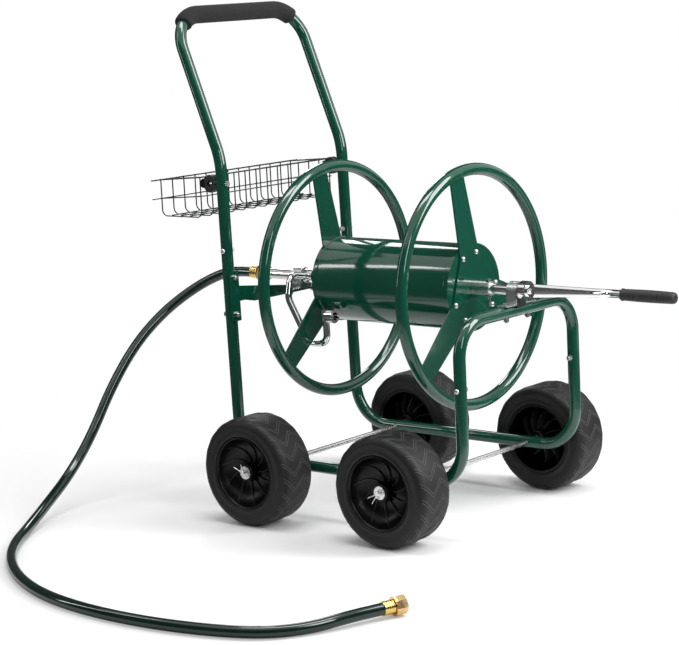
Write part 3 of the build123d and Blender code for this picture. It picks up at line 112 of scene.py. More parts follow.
hose_route += [Vector((MID_X + x, y, z)) for x, y, z in HOSE_RISE]
hose_route += [Vector((MID_X + x, y, LYING_Z)) for x, y in HOSE_LOOP]
hose_route += [Vector((MID_X + x, y, MOUTH_Z)) for x, y in HOSE_MOUTH]
hose_curve = bpy.data.curves.new("leader_hose_skin", "CURVE")
hose_curve.dimensions = "3D"
hose_spline = hose_curve.splines.new("NURBS")
hose_spline.points.add(len(hose_route) - 1)
for point, place in zip(hose_spline.points, hose_route):
    point.co = (*place, 1)
    point.radius = HOSE_DIA / 2
hose_spline.order_u = 3
hose_spline.use_endpoint_u = True
hose_spline.use_smooth = True
hose_curve.resolution_u = 12
hose_curve.bevel_depth = 1.0
hose_curve.bevel_resolution = 7
hose_skin = add_object("leader_hose_skin", hose_curve)
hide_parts("leader_hose")
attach(hose_skin, "frame")
print("hose points:", len(hose_route))

# %% [markdown]
# The frame, drum and rings wear a thick gloss enamel in dark green. Real enamel is never one flat
# colour: its tone wanders a little and it has a faint orange-peel skin. Two small node groups make
# that once, and every finish on the cart uses them with its own numbers.

# %% Shared shader groups
NODE_SETTINGS = ("operation", "data_type", "node_tree", "interpolation_type", "axis")
TONE_DETAIL = 6.0
FINE_DETAIL = 3.0
COARSE_DETAIL = 4.0


def fill(tree, node, **sockets):
    """Gives a node its settings, and its sockets values or links, by name or by _number."""
    for key, value in sockets.items():
        if key in NODE_SETTINGS:
            setattr(node, key, value)
            continue
        label = int(key[1:]) if key[1:].isdigit() else key.replace("_", " ")
        if isinstance(value, bpy.types.NodeSocket):
            tree.links.new(value, node.inputs[label])
        else:
            node.inputs[label].default_value = value
    return node


def add_node(tree, kind, **sockets):
    """A new filled node."""
    return fill(tree, tree.nodes.new(kind), **sockets)


def new_sockets(group, in_out, kinds):
    """Named sockets on a node group, each of a kind such as Float or Color."""
    for label, kind in kinds.items():
        label = label.replace("_", " ")
        group.interface.new_socket(label, in_out=in_out, socket_type="NodeSocket" + kind)


def shader_group(name, inputs, outputs):
    """A shader node group, what comes into it and its output node."""
    group = bpy.data.node_groups.new(name, "ShaderNodeTree")
    new_sockets(group, "INPUT", inputs)
    new_sockets(group, "OUTPUT", outputs)
    return group, group.nodes.new("NodeGroupInput").outputs, group.nodes.new("NodeGroupOutput")


def object_noise(tree, scale, detail):
    """A noise on object coordinates, so the pattern stays with its piece."""
    place = add_node(tree, "ShaderNodeTexCoord").outputs["Object"]
    return add_node(tree, "ShaderNodeTexNoise", Vector=place, Scale=scale, Detail=detail).outputs["Fac"]


TONE_INPUTS = {
    "Colour": "Color", "Second Colour": "Color", "Patch Scale": "Float", "Roughness": "Float",
    "Roughness Spread": "Float",
}
TONE_OUTPUTS = {"Colour": "Color", "Roughness": "Float"}
tone_group, tone_in, tone_out = shader_group("tone_spread", TONE_INPUTS, TONE_OUTPUTS)
tone_noise = object_noise(tone_group, tone_in["Patch Scale"], TONE_DETAIL)
tone_mix = add_node(
    tone_group, "ShaderNodeMix", data_type="RGBA", Factor=tone_noise, A=tone_in["Colour"],
    B=tone_in["Second Colour"],
)
tone_shift = add_node(tone_group, "ShaderNodeMath", operation="SUBTRACT", _0=tone_noise, _1=0.5)
tone_rough = add_node(
    tone_group, "ShaderNodeMath", operation="MULTIPLY_ADD", _0=tone_shift.outputs[0],
    _1=tone_in["Roughness Spread"], _2=tone_in["Roughness"],
)
fill(tone_group, tone_out, Colour=tone_mix.outputs["Result"], Roughness=tone_rough.outputs[0])

GRAIN_INPUTS = {"Grain Scale": "Float", "Coarse Scale": "Float", "Coarse Share": "Float"}
grain_group, grain_in, grain_out = shader_group("fine_grain", GRAIN_INPUTS, {"Height": "Float"})
grain_mix = add_node(
    grain_group, "ShaderNodeMix", Factor=grain_in["Coarse Share"],
    A=object_noise(grain_group, grain_in["Grain Scale"], FINE_DETAIL),
    B=object_noise(grain_group, grain_in["Coarse Scale"], COARSE_DETAIL),
)
fill(grain_group, grain_out, Height=grain_mix.outputs["Result"])
print("groups:", tone_group.name, grain_group.name)

# %% [markdown]
# Each finish is the same short recipe: a tone group for colour and roughness, a grain group for the
# skin, and one Principled shader whose fixed numbers sit on its own sockets.

# %% Finishes
GRAIN_DEPTH = 0.0005


def new_material(name):
    """A material with its node tree and its Principled shader."""
    material = bpy.data.materials.new(name)
    material.use_nodes = True
    return material, material.node_tree, material.node_tree.nodes["Principled BSDF"]


def finish(name, tones, gloss, skin, **fixed):
    """A material from two colours and their patch scale, a roughness and its spread, a skin of fine and
    coarse grain with the coarse share and the bump's strength, and fixed numbers on the shader."""
    colour, second, patch = tones
    rough, spread = gloss
    grain, coarse, share, bump = skin
    material, tree, shader = new_material(name)
    tone = add_node(
        tree, "ShaderNodeGroup", node_tree=tone_group, Colour=(*colour, 1),
        Second_Colour=(*second, 1), Patch_Scale=patch, Roughness=rough, Roughness_Spread=spread,
    )
    grains = add_node(
        tree, "ShaderNodeGroup", node_tree=grain_group, Grain_Scale=grain, Coarse_Scale=coarse,
        Coarse_Share=share,
    )
    relief = add_node(
        tree, "ShaderNodeBump", Strength=bump, Distance=GRAIN_DEPTH, Height=grains.outputs["Height"]
    )
    fill(
        tree, shader, Base_Color=tone.outputs["Colour"], Roughness=tone.outputs["Roughness"],
        Normal=relief.outputs["Normal"], **fixed,
    )
    return material


finishes = {
    "green_paint": finish(
        "green_enamel", ((0.0019, 0.048, 0.028), (0.0028, 0.060, 0.035), 9),
        (0.10, 0.05), (420, 90, 0.6, 0.03), Coat_Weight=0.4, Coat_Roughness=0.03, Coat_IOR=1.5,
    ),
    "zinc_steel": finish(
        "zinc_plate", ((0.80, 0.80, 0.79), (0.66, 0.67, 0.67), 160),
        (0.28, 0.20), (900, 160, 0.5, 0.12), Metallic=1.0,
    ),
    "chrome": finish(
        "bright_chrome", ((0.86, 0.86, 0.87), (0.80, 0.80, 0.81), 60),
        (0.07, 0.06), (700, 80, 0.5, 0.02), Metallic=1.0,
    ),
    "inlet_metal": finish(
        "plated_inlet", ((0.74, 0.73, 0.70), (0.62, 0.61, 0.58), 120),
        (0.22, 0.16), (800, 140, 0.5, 0.10), Metallic=1.0,
    ),
    "basket_wire": finish(
        "basket_coating", ((0.006, 0.014, 0.011), (0.010, 0.022, 0.017), 80),
        (0.26, 0.12), (900, 200, 0.5, 0.08), Coat_Weight=0.3, Coat_Roughness=0.1,
    ),
    "black_plastic": finish(
        "clip_plastic", ((0.008, 0.008, 0.009), (0.014, 0.014, 0.015), 90),
        (0.45, 0.15), (1200, 200, 0.3, 0.2),
    ),
    "tyre": finish(
        "tyre_rubber", ((0.0068, 0.0068, 0.0073), (0.0105, 0.0105, 0.0110), 40),
        (0.50, 0.16), (1500, 180, 0.35, 0.35), Specular_IOR_Level=0.3,
    ),
    # The tread lines wear a lighter copy of the tyre rubber: a painted highlight for the light that catches
    # the raised lines.
    "tread_edge": finish(
        "scuffed_rubber", ((0.050, 0.050, 0.051), (0.100, 0.100, 0.102), 300),
        (0.60, 0.16), (1500, 240, 0.4, 0.3), Specular_IOR_Level=0.4,
    ),
    "rim_plastic": finish(
        "rim_plastic", ((0.0010, 0.0010, 0.0011), (0.0018, 0.0018, 0.0020), 60),
        (0.32, 0.12), (1100, 150, 0.4, 0.12), Specular_IOR_Level=0.22,
    ),
    # The blades wear a lighter grey than the bowl's plastic: a painted highlight for the light that catches
    # their thin edges.
    "rim_edge": finish(
        "worn_rim_edge", ((0.016, 0.016, 0.017), (0.030, 0.030, 0.031), 240),
        (0.42, 0.14), (1100, 200, 0.4, 0.15),
    ),
    "foam": finish(
        "grip_foam", ((0.015, 0.015, 0.016), (0.026, 0.026, 0.027), 220),
        (0.92, 0.08), (1700, 420, 0.45, 0.9),
        Specular_IOR_Level=0.12, Sheen_Weight=0.04, Sheen_Roughness=0.6,
    ),
    "grip_rubber": finish(
        "crank_rubber", ((0.016, 0.016, 0.017), (0.028, 0.028, 0.030), 140),
        (0.55, 0.15), (1600, 300, 0.4, 0.5), Specular_IOR_Level=0.4,
    ),
    "seal_rubber": finish(
        "seal_rubber", ((0.010, 0.010, 0.010), (0.016, 0.016, 0.016), 100),
        (0.6, 0.1), (1500, 300, 0.4, 0.3),
    ),
    "hose": finish(
        "hose_vinyl", ((0.0012, 0.012, 0.0085), (0.0020, 0.017, 0.012), 30),
        (0.12, 0.08), (1000, 60, 0.7, 0.05), Coat_Weight=0.4, Coat_Roughness=0.04,
    ),
    "brass": finish(
        "yellow_brass", ((0.90, 0.66, 0.20), (0.80, 0.56, 0.16), 120),
        (0.20, 0.14), (900, 160, 0.5, 0.1), Metallic=1.0,
    ),
    "brass_nut": finish(
        "red_brass", ((0.86, 0.60, 0.30), (0.74, 0.49, 0.23), 120),
        (0.26, 0.16), (900, 160, 0.5, 0.12), Metallic=1.0,
    ),
}
for entry in frame["record"]["subparts"]:
    solid = nodes[entry["node"]]
    solid.data.materials.clear()
    solid.data.materials.append(finishes[entry["material_slot"]])
hose_curve.materials.append(finishes["hose"])
print("finishes:", len(finishes))

# %% [markdown]
# The finer pieces are mostly turned or swept shapes, as they are in a workshop: a tyre is turned about
# its axle, a grip is a sleeve along a bent tube. Both are rings of points under one skin. The last
# helper turns such shapes into one finished piece that rides its body and hides the plain solid.

# %% Turned and swept shapes
MM = 0.001


def shaped_mesh(name, points, faces, sharp_angle=35.0):
    """A mesh with its points joined, its faces outward and its edges sharp where it turns hard."""
    mesh = bpy.data.meshes.new(name)
    mesh.from_pydata([tuple(point) for point in points], [], faces)
    work = bmesh.new()
    work.from_mesh(mesh)
    bmesh.ops.remove_doubles(work, verts=work.verts, dist=1e-6)
    bmesh.ops.recalc_face_normals(work, faces=work.faces)
    work.to_mesh(mesh)
    work.free()
    mesh.shade_smooth()
    mesh.set_sharp_from_angle(angle=math.radians(sharp_angle))
    return mesh


def skinned(rings, closed=True, looped=False, capped=False):
    """Points and faces of a skin over rings of points: a ring can be closed, the rings can loop back to
    the first, and the first and last ring can be capped."""
    count = len(rings[0])
    points = [point for ring in rings for point in ring]
    faces = []
    for step in range(len(rings) if looped else len(rings) - 1):
        here, there = step * count, (step + 1) % len(rings) * count
        for spot in range(count if closed else count - 1):
            after = (spot + 1) % count
            faces.append((here + spot, here + after, there + after, there + spot))
    if capped:
        faces += [tuple(range(count)), tuple(range(len(points) - count, len(points)))]
    return points, faces


def turned(profile, centre, axis, segments=96):
    """A closed outline of (radius, along) points in millimetres, turned about an axis."""
    axis = Vector(axis).normalized()
    side = axis.orthogonal().normalized()
    up = axis.cross(side)
    rings = []
    for step in range(segments):
        angle = math.tau * step / segments
        out = side * math.cos(angle) + up * math.sin(angle)
        rings.append([centre + (axis * along + out * radius) * MM for radius, along in profile])
    return skinned(rings, looped=True)


def swept(path, radii, sides=24):
    """A round bar along points in metres, with a radius in millimetres at each, capped at both ends."""
    rings = []
    side = (path[1] - path[0]).orthogonal().normalized()
    last = len(path) - 1
    for spot, (place, radius) in enumerate(zip(path, radii)):
        heading = (path[min(spot + 1, last)] - path[max(spot - 1, 0)]).normalized()
        side = (side - heading * side.dot(heading)).normalized()
        up = heading.cross(side)
        angles = [math.tau * step / sides for step in range(sides)]
        rings.append([place + (side * math.cos(a) + up * math.sin(a)) * radius * MM for a in angles])
    return skinned(rings, capped=True)


def dress(piece, body, slot_name, *hidden):
    """Gives a finished piece its material and body, and hides the solids that it stands for."""
    if not piece.data.materials:
        piece.data.materials.append(finishes[slot_name])
    if hidden:
        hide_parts(*hidden)
    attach(piece, body)
    print(piece.name, "faces", len(piece.data.polygons))
    return piece


def together(shapes):
    """Several shapes as one list of points and one of faces."""
    points, faces = [], []
    for shape_points, shape_faces in shapes:
        base = len(points)
        points += shape_points
        faces += [tuple(base + spot for spot in face) for face in shape_faces]
    return points, faces


def made(name, shapes, body, slot_name, *hidden, sharp_angle=35.0):
    """One piece from several shapes."""
    mesh = shaped_mesh(name, *together(shapes), sharp_angle)
    return dress(add_object(name, mesh), body, slot_name, *hidden)


def middle(node):
    """The middle of a solid's box."""
    low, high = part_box(node)
    return (Vector(low) + Vector(high)) / 2


print("shapes in millimetres:", MM, "m")

# %% [markdown]
# What repeats is grown with Geometry Nodes. Each tree has named inputs, so one tree serves all four
# wheels. The tree is run once, its result is kept as a plain mesh, and the modifier goes away.

# %% Growing with Geometry Nodes


class Tree:
    """A Geometry Nodes tree with named inputs and one geometry output."""

    def __init__(self, name, **inputs):
        self.group = bpy.data.node_groups.new(name, "GeometryNodeTree")
        new_sockets(self.group, "OUTPUT", {"Geometry": "Geometry"})
        new_sockets(self.group, "INPUT", inputs)
        self.given = self.group.nodes.new("NodeGroupInput").outputs

    def node(self, kind, out=0, **sockets):
        """Adds a filled node and returns one of its outputs."""
        return add_node(self.group, kind, **sockets).outputs[out]

    def math(self, operation, first, second=0.0):
        return self.node("ShaderNodeMath", operation=operation, _0=first, _1=second)

    def vector(self, x=0.0, y=0.0, z=0.0):
        return self.node("ShaderNodeCombineXYZ", X=x, Y=y, Z=z)

    def shape(self, label):
        """The geometry of a given object."""
        return self.node("GeometryNodeObjectInfo", out="Geometry", Object=self.given[label])

    def copies(self, points, shape, turn=(0, 0, 0)):
        """One copy of a shape on every point."""
        return self.node("GeometryNodeInstanceOnPoints", Points=points, Instance=shape, Rotation=turn)

    def finish(self, geometry, material):
        whole = self.node("GeometryNodeRealizeInstances", Geometry=geometry)
        coloured = self.node("GeometryNodeSetMaterial", Geometry=whole, Material=material)
        add_node(self.group, "NodeGroupOutput", Geometry=coloured)

    def grow(self, name, **settings):
        """Runs the tree with these inputs and returns an object with the plain mesh."""
        piece = add_object(name, bpy.data.meshes.new(name))
        growth = piece.modifiers.new("growth", "NODES")
        growth.node_group = self.group
        for item in self.group.interface.items_tree:
            if item.in_out == "INPUT":
                growth[item.identifier] = settings[item.name.replace(" ", "_")]
        graph = bpy.context.evaluated_depsgraph_get()
        plain = bpy.data.meshes.new_from_object(piece.evaluated_get(graph))
        piece.modifiers.remove(growth)
        piece.data = plain
        return piece


print("tree helper:", Tree.__name__)

# %% [markdown]
# Each wheel is a wide tyre on a black plastic rim. The tyre is turned from one outline with a rounded
# shoulder, a shallow step in its side wall and a bead at the rim. Its top lies a little under the full
# radius, which leaves room for the raised lines of the tread.

# %% Tyres
WHEEL_RADIUS = 101.5
TYRE_HALF = 43.6
SHOULDER = 16.0
RIDGE_HEIGHT = 0.7
TYRE_SEAT = 68.05
WHEELS = ["front_near", "front_far", "rear_near", "rear_far"]
SIDE_WALL = [
    (TYRE_SEAT, 40.0), (68.6, 42.2), (70.2, 43.6), (72.4, 44.0), (74.6, 43.5), (75.6, 42.4),
    (77.0, 42.2), (82.0, 43.0), (86.0, 43.2),
]
SHOULDER_STEPS = 10


def outward(wheel):
    """The way that a wheel's open face looks."""
    return Vector((0, -1 if wheel.endswith("near") else 1, 0))


def tyre_outline():
    """Half of the tyre's section from its seat to its top, and the same mirrored."""
    top = WHEEL_RADIUS - RIDGE_HEIGHT
    half = list(SIDE_WALL)
    for step in range(1, SHOULDER_STEPS + 1):
        angle = math.radians(90 * step / SHOULDER_STEPS)
        radius = top - SHOULDER + SHOULDER * math.sin(angle)
        if radius > SIDE_WALL[-1][0] + 1:
            half.append((radius, TYRE_HALF - SHOULDER + SHOULDER * math.cos(angle)))
    return half + [(radius, -along) for radius, along in reversed(half)]


for wheel in WHEELS:
    tyre_shape = turned(tyre_outline(), middle("tyre_" + wheel), outward(wheel), segments=128)
    made("tyre_skin_" + wheel, [tyre_shape], "wheel_" + wheel, "tyre", "tyre_" + wheel, sharp_angle=50)

# %% [markdown]
# The tread is a net of thin raised lines that run slantwise across the tyre and turn back in three lanes.
# Drawn flat, it is only rows of slanted bars, so the tree lays the bars out flat, joins them, and then
# bends the sheet round the wheel and down over the shoulder.

# %% Tread
TREAD_PITCHES = 22
TREAD_LANE = 25.5
TREAD_SLANT = math.radians(48)
TREAD_LINE = 0.9
BAR_SINK = 4.0
BAR_CUTS = 8
DOUBLE_LINE = [-0.10, 0.10]
LANE_TURNS = ((-1, 1), (0, -1), (1, 1))
tread = Tree(
    "tread_lines", Pitches="Int", Radius="Float", Half_Width="Float", Shoulder="Float", Lane="Float",
    Slant="Float", Bar_Width="Float", Bar_Height="Float", Centre="Vector", Rubber="Material",
)
bar_length = tread.math("DIVIDE", tread.given["Lane"], tread.math("SINE", tread.given["Slant"]))
bar_depth = tread.math("MULTIPLY", tread.given["Bar Height"], BAR_SINK)
bar_size = tread.vector(bar_length, tread.given["Bar Width"], bar_depth)
bar = tread.node("GeometryNodeMeshCube", Size=bar_size, Vertices_X=BAR_CUTS)
way_round = tread.math("MULTIPLY", tread.given["Radius"], math.tau)
pitch = tread.math("DIVIDE", way_round, tread.given["Pitches"])
row = tread.node("GeometryNodeMeshLine", Count=tread.given["Pitches"], Offset=tread.vector(pitch))
lanes = tread.group.nodes.new("GeometryNodeJoinGeometry")
for lane_step, turn in LANE_TURNS:
    for share in DOUBLE_LINE:
        lane_shift = tread.math("MULTIPLY", tread.given["Lane"], lane_step)
        shift = tread.vector(tread.math("MULTIPLY", pitch, share), lane_shift)
        lane_row = tread.node("GeometryNodeTransform", Geometry=row, Translation=shift)
        lean = tread.vector(0.0, 0.0, tread.math("MULTIPLY", tread.given["Slant"], turn))
        bars = tread.copies(lane_row, bar, lean)
        tread.group.links.new(bars, lanes.inputs[0])
flat_tread = tread.node("GeometryNodeRealizeInstances", Geometry=lanes.outputs[0])
flat_place = tread.node("GeometryNodeInputPosition")
flat_spot = add_node(tread.group, "ShaderNodeSeparateXYZ", Vector=flat_place).outputs
across = tread.math("ABSOLUTE", flat_spot["Y"])
flat_half = tread.math("SUBTRACT", tread.given["Half Width"], tread.given["Shoulder"])
past = tread.math("MAXIMUM", tread.math("SUBTRACT", across, flat_half), 0.0)
round_square = tread.math("MULTIPLY", tread.given["Shoulder"], tread.given["Shoulder"])
drop = tread.math("SQRT", tread.math("SUBTRACT", round_square, tread.math("MULTIPLY", past, past)))
fall = tread.math("SUBTRACT", tread.given["Shoulder"], drop)
level = tread.math("SUBTRACT", tread.given["Radius"], fall)
level = tread.math("ADD", level, tread.math("SUBTRACT", flat_spot["Z"], tread.given["Bar Height"]))
turn_angle = tread.math("DIVIDE", flat_spot["X"], tread.given["Radius"])
wrapped = tread.vector(
    tread.math("MULTIPLY", level, tread.math("SINE", turn_angle)),
    flat_spot["Y"],
    tread.math("MULTIPLY", level, tread.math("COSINE", turn_angle)),
)
bent = tread.node("GeometryNodeSetPosition", Geometry=flat_tread, Position=wrapped)
placed = tread.node("GeometryNodeTransform", Geometry=bent, Translation=tread.given["Centre"])
tread.finish(placed, tread.given["Rubber"])
for wheel in WHEELS:
    lines = tread.grow(
        "tread_lines_" + wheel,
        Pitches=TREAD_PITCHES,
        Radius=(WHEEL_RADIUS - RIDGE_HEIGHT) * MM,
        Half_Width=TYRE_HALF * MM,
        Shoulder=SHOULDER * MM,
        Lane=TREAD_LANE * MM,
        Slant=TREAD_SLANT,
        Bar_Width=TREAD_LINE * MM,
        Bar_Height=RIDGE_HEIGHT * MM,
        Centre=middle("tyre_" + wheel),
        # The lighter rubber on the tread lines is a painted highlight.
        Rubber=finishes["tread_edge"],
    )
    dress(lines, "wheel_" + wheel, "tyre")

# %% [markdown]
# The rim is a moulded bowl. Seen from outside it falls from a rolled lip to a flat floor round the hub.
# Ten thin blades curl over it like a fan, and each has a deeper rib behind the floor that stiffens it.
# The bowl is turned, and the tree copies one blade with its rib round it.

# %% Rims
BOWL = [
    (67.9, 40.6), (67.3, 42.0), (65.8, 42.4), (64.2, 41.4), (62.8, 37.5), (60.4, 30.0),
    (55.6, 22.0), (47.5, 15.6), (37.5, 12.2), (26.5, 11.2), (20.0, 12.4), (17.4, 16.0),
]
HUB = [(16.6, 22.0), (16.1, 33.0), (15.2, 34.3), (4.95, 34.3), (4.95, -44.0), (15.2, -44.2), (16.0, -43.4)]
BOWL_BACK = [
    (16.0, 3.0), (30.0, 6.4), (45.0, 10.0), (54.5, 17.5), (59.0, 26.0), (62.6, 32.0), (62.8, -40.8),
    (67.9, -40.8),
]
BLADE_COUNT = 10
BLADE_STEPS = 10
BLADE_START = 15.5
BLADE_END = 61.0
BLADE_CURL = math.radians(30)
BLADE_RISE = 3.0
BLADE_LIP = 0.4
BLADE_SINK = 1.0
BLADE_HALF = 0.8
BLADE_TIP_HALF = 0.48
RIB_EDGE = -31.0
RIB_SLOPE = 0.30
RIB_LIFT = 8.0


def height_at(outline, radius):
    """How far out an outline is at a radius, between the two points beside it."""
    for (r1, h1), (r2, h2) in zip(outline, outline[1:]):
        if min(r1, r2) <= radius <= max(r1, r2):
            return h2 + (h1 - h2) * (radius - r2) / (r1 - r2)
    return outline[-1][1]


def blade_levels(radius, share):
    """Foot and free edge of a blade on the bowl's face."""
    face = height_at(BOWL, radius)
    return face - BLADE_SINK, face + BLADE_RISE * (1 - share**3) + BLADE_LIP


def rib_levels(radius, share):
    """Foot and free edge of a rib behind the bowl."""
    foot = height_at(BOWL_BACK, radius) + BLADE_SINK
    return foot, RIB_EDGE + RIB_SLOPE * (radius - BLADE_START) + RIB_LIFT * share**3


def blade_shape(levels):
    """One blade as a strip of four-sided sections, thin at its free edge, that starts at the hub."""
    rings = []
    for step in range(BLADE_STEPS + 1):
        share = step / BLADE_STEPS
        radius = BLADE_START + (BLADE_END - BLADE_START) * share
        angle = BLADE_CURL * share**1.5
        out = Vector((math.cos(angle), 0, math.sin(angle)))
        side = Vector((-math.sin(angle), 0, math.cos(angle)))
        foot, top = levels(radius, share)
        section = ((-BLADE_HALF, foot), (BLADE_HALF, foot), (BLADE_TIP_HALF, top), (-BLADE_TIP_HALF, top))
        rings.append([(out * radius + side * x + Vector((0, -1, 0)) * y) * MM for x, y in section])
    return skinned(rings, capped=True)


fan = Tree(
    "fan_of_blades", Blade="Object", Blades="Int", Half_Turn="Float", Centre="Vector",
    Plastic="Material",
)
blade = fan.shape("Blade")
turns_so_far = fan.math("MULTIPLY", fan.node("GeometryNodeInputIndex"), math.tau)
swing = fan.vector(0.0, fan.math("DIVIDE", turns_so_far, fan.given["Blades"]))
hub_points = fan.node("GeometryNodeMeshLine", Count=fan.given["Blades"], Offset=fan.vector())
ring = fan.copies(hub_points, blade, swing)
faced = fan.node(
    "GeometryNodeTransform", Geometry=ring, Rotation=fan.vector(0.0, 0.0, fan.given["Half Turn"]),
    Translation=fan.given["Centre"],
)
fan.finish(faced, fan.given["Plastic"])
blade_shapes = [blade_shape(blade_levels), blade_shape(rib_levels)]
blade_pattern = add_object("blade_pattern", shaped_mesh("blade_pattern", *together(blade_shapes)))
for wheel in WHEELS:
    bowl_shape = turned(BOWL + HUB + BOWL_BACK, middle("tyre_" + wheel), outward(wheel))
    made("rim_bowl_" + wheel, [bowl_shape], "wheel_" + wheel, "rim_plastic", "rim_" + wheel, sharp_angle=40)
    blades = fan.grow(
        "rim_blades_" + wheel,
        Blade=blade_pattern,
        Blades=BLADE_COUNT,
        Half_Turn=0.0 if wheel.endswith("near") else math.pi,
        Centre=middle("tyre_" + wheel),
        # The blades' lighter grey is a painted highlight.
        Plastic=finishes["rim_edge"],
    )
    dress(blades, "wheel_" + wheel, "rim_plastic")
bpy.data.objects.remove(blade_pattern)

# %% [markdown]
# The basket is welded from round wire: thirteen cross wires bent to a U, and long wires along the rims,
# the sides and the floor. At the back the long wires run a little past the last U and hang a little
# lower. A curve gives one wire its bends, and the tree sets it in a row and gives it thickness.

# %% Basket
basket_low = Vector(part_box("basket_back")[0])
basket_high = Vector(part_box("basket_front")[1])
WIRE = 1.25
RIM_WIRE = 1.6
WIRE_SIDES = 8
WIRE_LAP = 0.6
U_COUNT = 13
U_BEND = 12.0
BEND_STEPS = 6
WIRE_OVERHANG = 0.020
END_INSET = 0.003
BACK_DROP = 0.007
MIDDLE_LIFT = 0.002
FLOOR_WIRE_RISE = 3.4
FLOOR_WIRE_INSET = 0.030

wire_row = Tree(
    "wire_row", Wire="Object", Wires="Int", Step="Vector", Thickness="Float", Sides="Int",
    Coating="Material",
)
wire_places = wire_row.node(
    "GeometryNodeMeshLine", Count=wire_row.given["Wires"], Offset=wire_row.given["Step"]
)
one_wire = wire_row.shape("Wire")
wires = wire_row.copies(wire_places, one_wire)
wire_round = wire_row.node(
    "GeometryNodeCurvePrimitiveCircle", Radius=wire_row.given["Thickness"],
    Resolution=wire_row.given["Sides"],
)
thick = wire_row.node(
    "GeometryNodeCurveToMesh", Curve=wire_row.node("GeometryNodeRealizeInstances", Geometry=wires),
    Profile_Curve=wire_round, Fill_Caps=True,
)
wire_row.finish(wire_row.node("GeometryNodeSetShadeSmooth", Geometry=thick), wire_row.given["Coating"])


def wire_curve(name, runs):
    """A curve object with one poly line for each run of points."""
    curve = bpy.data.curves.new(name, "CURVE")
    curve.dimensions = "3D"
    for run in runs:
        line = curve.splines.new("POLY")
        line.points.add(len(run) - 1)
        for point, place in zip(line.points, run):
            point.co = (*place, 1)
    return add_object(name, curve)


def u_wire():
    """One cross wire at the near end: down the front, over the floor and up the back."""
    bend = U_BEND * MM
    front, back = basket_high.x - WIRE * MM, basket_low.x + WIRE * MM
    floor_z, top = basket_low.z + WIRE * MM, basket_high.z
    y = basket_low.y + END_INSET
    run = [Vector((front, y, top))]
    for centre_x, first in ((front - bend, 0.0), (back + bend, -90.0)):
        for step in range(BEND_STEPS + 1):
            angle = math.radians(first - 90.0 * step / BEND_STEPS)
            z = floor_z + bend + bend * math.sin(angle)
            run.append(Vector((centre_x + bend * math.cos(angle), y, z)))
    return run + [Vector((back, y, top - BACK_DROP))]


def long_wire(x, z, overhang=0.0):
    """A straight wire along the basket, which can run past both ends."""
    low, high = basket_low.y - overhang, basket_high.y + overhang
    return [Vector((x, low, z)), Vector((x, high, z))]


def end_wires(z):
    """A wire across each end of the basket, lower at the back."""
    ends = (basket_low.y + END_INSET, basket_high.y - END_INSET)
    return [[Vector((front_x, y, z)), Vector((back_x, y, z - BACK_DROP))] for y in ends]


def basket_row(name, runs, thickness, count=1, step=0.0, hidden=()):
    """One finished piece with the wires of these runs, set in a row along the basket."""
    pattern = wire_curve(name + "_line", runs)
    row = wire_row.grow(
        name,
        Wire=pattern,
        Wires=count,
        Step=(0, step, 0),
        Thickness=thickness * MM,
        Sides=WIRE_SIDES,
        Coating=finishes["basket_wire"],
    )
    bpy.data.objects.remove(pattern)
    dress(row, "frame", "basket_wire", *hidden)


u_step = (basket_high.y - basket_low.y - 2 * END_INSET) / (U_COUNT - 1)
grilles = ["basket_front", "basket_back", "basket_near_end", "basket_far_end", "basket_floor"]
basket_row("basket_cross_wires", [u_wire()], WIRE, U_COUNT, u_step, grilles)
front_x, back_x = basket_high.x + WIRE_LAP * MM, basket_low.x - WIRE_LAP * MM
middle_z = (basket_low.z + basket_high.z) / 2 + MIDDLE_LIFT
floor_z = basket_low.z + FLOOR_WIRE_RISE * MM
side_runs = [
    long_wire(front_x, middle_z),
    long_wire(back_x, middle_z - BACK_DROP, WIRE_OVERHANG),
    long_wire(back_x + FLOOR_WIRE_INSET, floor_z),
    long_wire((front_x + back_x) / 2, floor_z),
    long_wire(front_x - FLOOR_WIRE_INSET, floor_z),
]
basket_row("basket_side_wires", side_runs + end_wires(middle_z), WIRE)
rim_z = basket_high.z - RIM_WIRE * MM
rim_runs = [long_wire(front_x, rim_z), long_wire(back_x, rim_z - BACK_DROP, WIRE_OVERHANG)]
basket_row("basket_rim_wires", rim_runs + end_wires(rim_z), RIM_WIRE)

# %% [markdown]
# The push handle wears a foam sleeve over its bow and part of both corners. It is a swept tube, and the
# rings at its two cut ends are a little thinner, which takes the hard edge off the cut.

# %% Foam grip
HANDLE_TOP = Vector((-0.38775, 0, 0.936))
HANDLE_BEND = Vector((-0.28335, 0, 0.668))
HANDLE_UP = (HANDLE_TOP - HANDLE_BEND).normalized()
HANDLE_HALF = 0.177
HANDLE_CORNER = 0.068
FOAM_RADIUS = 17.0
FOAM_ANGLE = 42.0
FOAM_STEPS = 26
FOAM_CUT = [15.6, 16.7]


def foam_path():
    """The middle line of the foam, from one corner of the handle over the bow to the other."""
    far_corner = HANDLE_TOP - HANDLE_UP * HANDLE_CORNER + Vector((0, HANDLE_HALF - HANDLE_CORNER, 0))
    half = []
    for step in range(FOAM_STEPS + 1):
        angle = math.radians(FOAM_ANGLE * step / FOAM_STEPS)
        across_bow = Vector((0, math.sin(angle), 0))
        half.append(far_corner + (HANDLE_UP * math.cos(angle) + across_bow) * HANDLE_CORNER)
    near = [Vector((point.x, -point.y, point.z)) for point in reversed(half)]
    bow = [near[-1].lerp(half[0], step / FOAM_STEPS) for step in range(1, FOAM_STEPS)]
    return near + bow + half


foam_places = foam_path()
foam_radii = FOAM_CUT + [FOAM_RADIUS] * (len(foam_places) - 2 * len(FOAM_CUT)) + FOAM_CUT[::-1]
foam_shape = swept(foam_places, foam_radii, sides=40)
foam_sleeve = made("foam_sleeve", [foam_shape], "frame", "foam", "handle_foam_grip", sharp_angle=60)

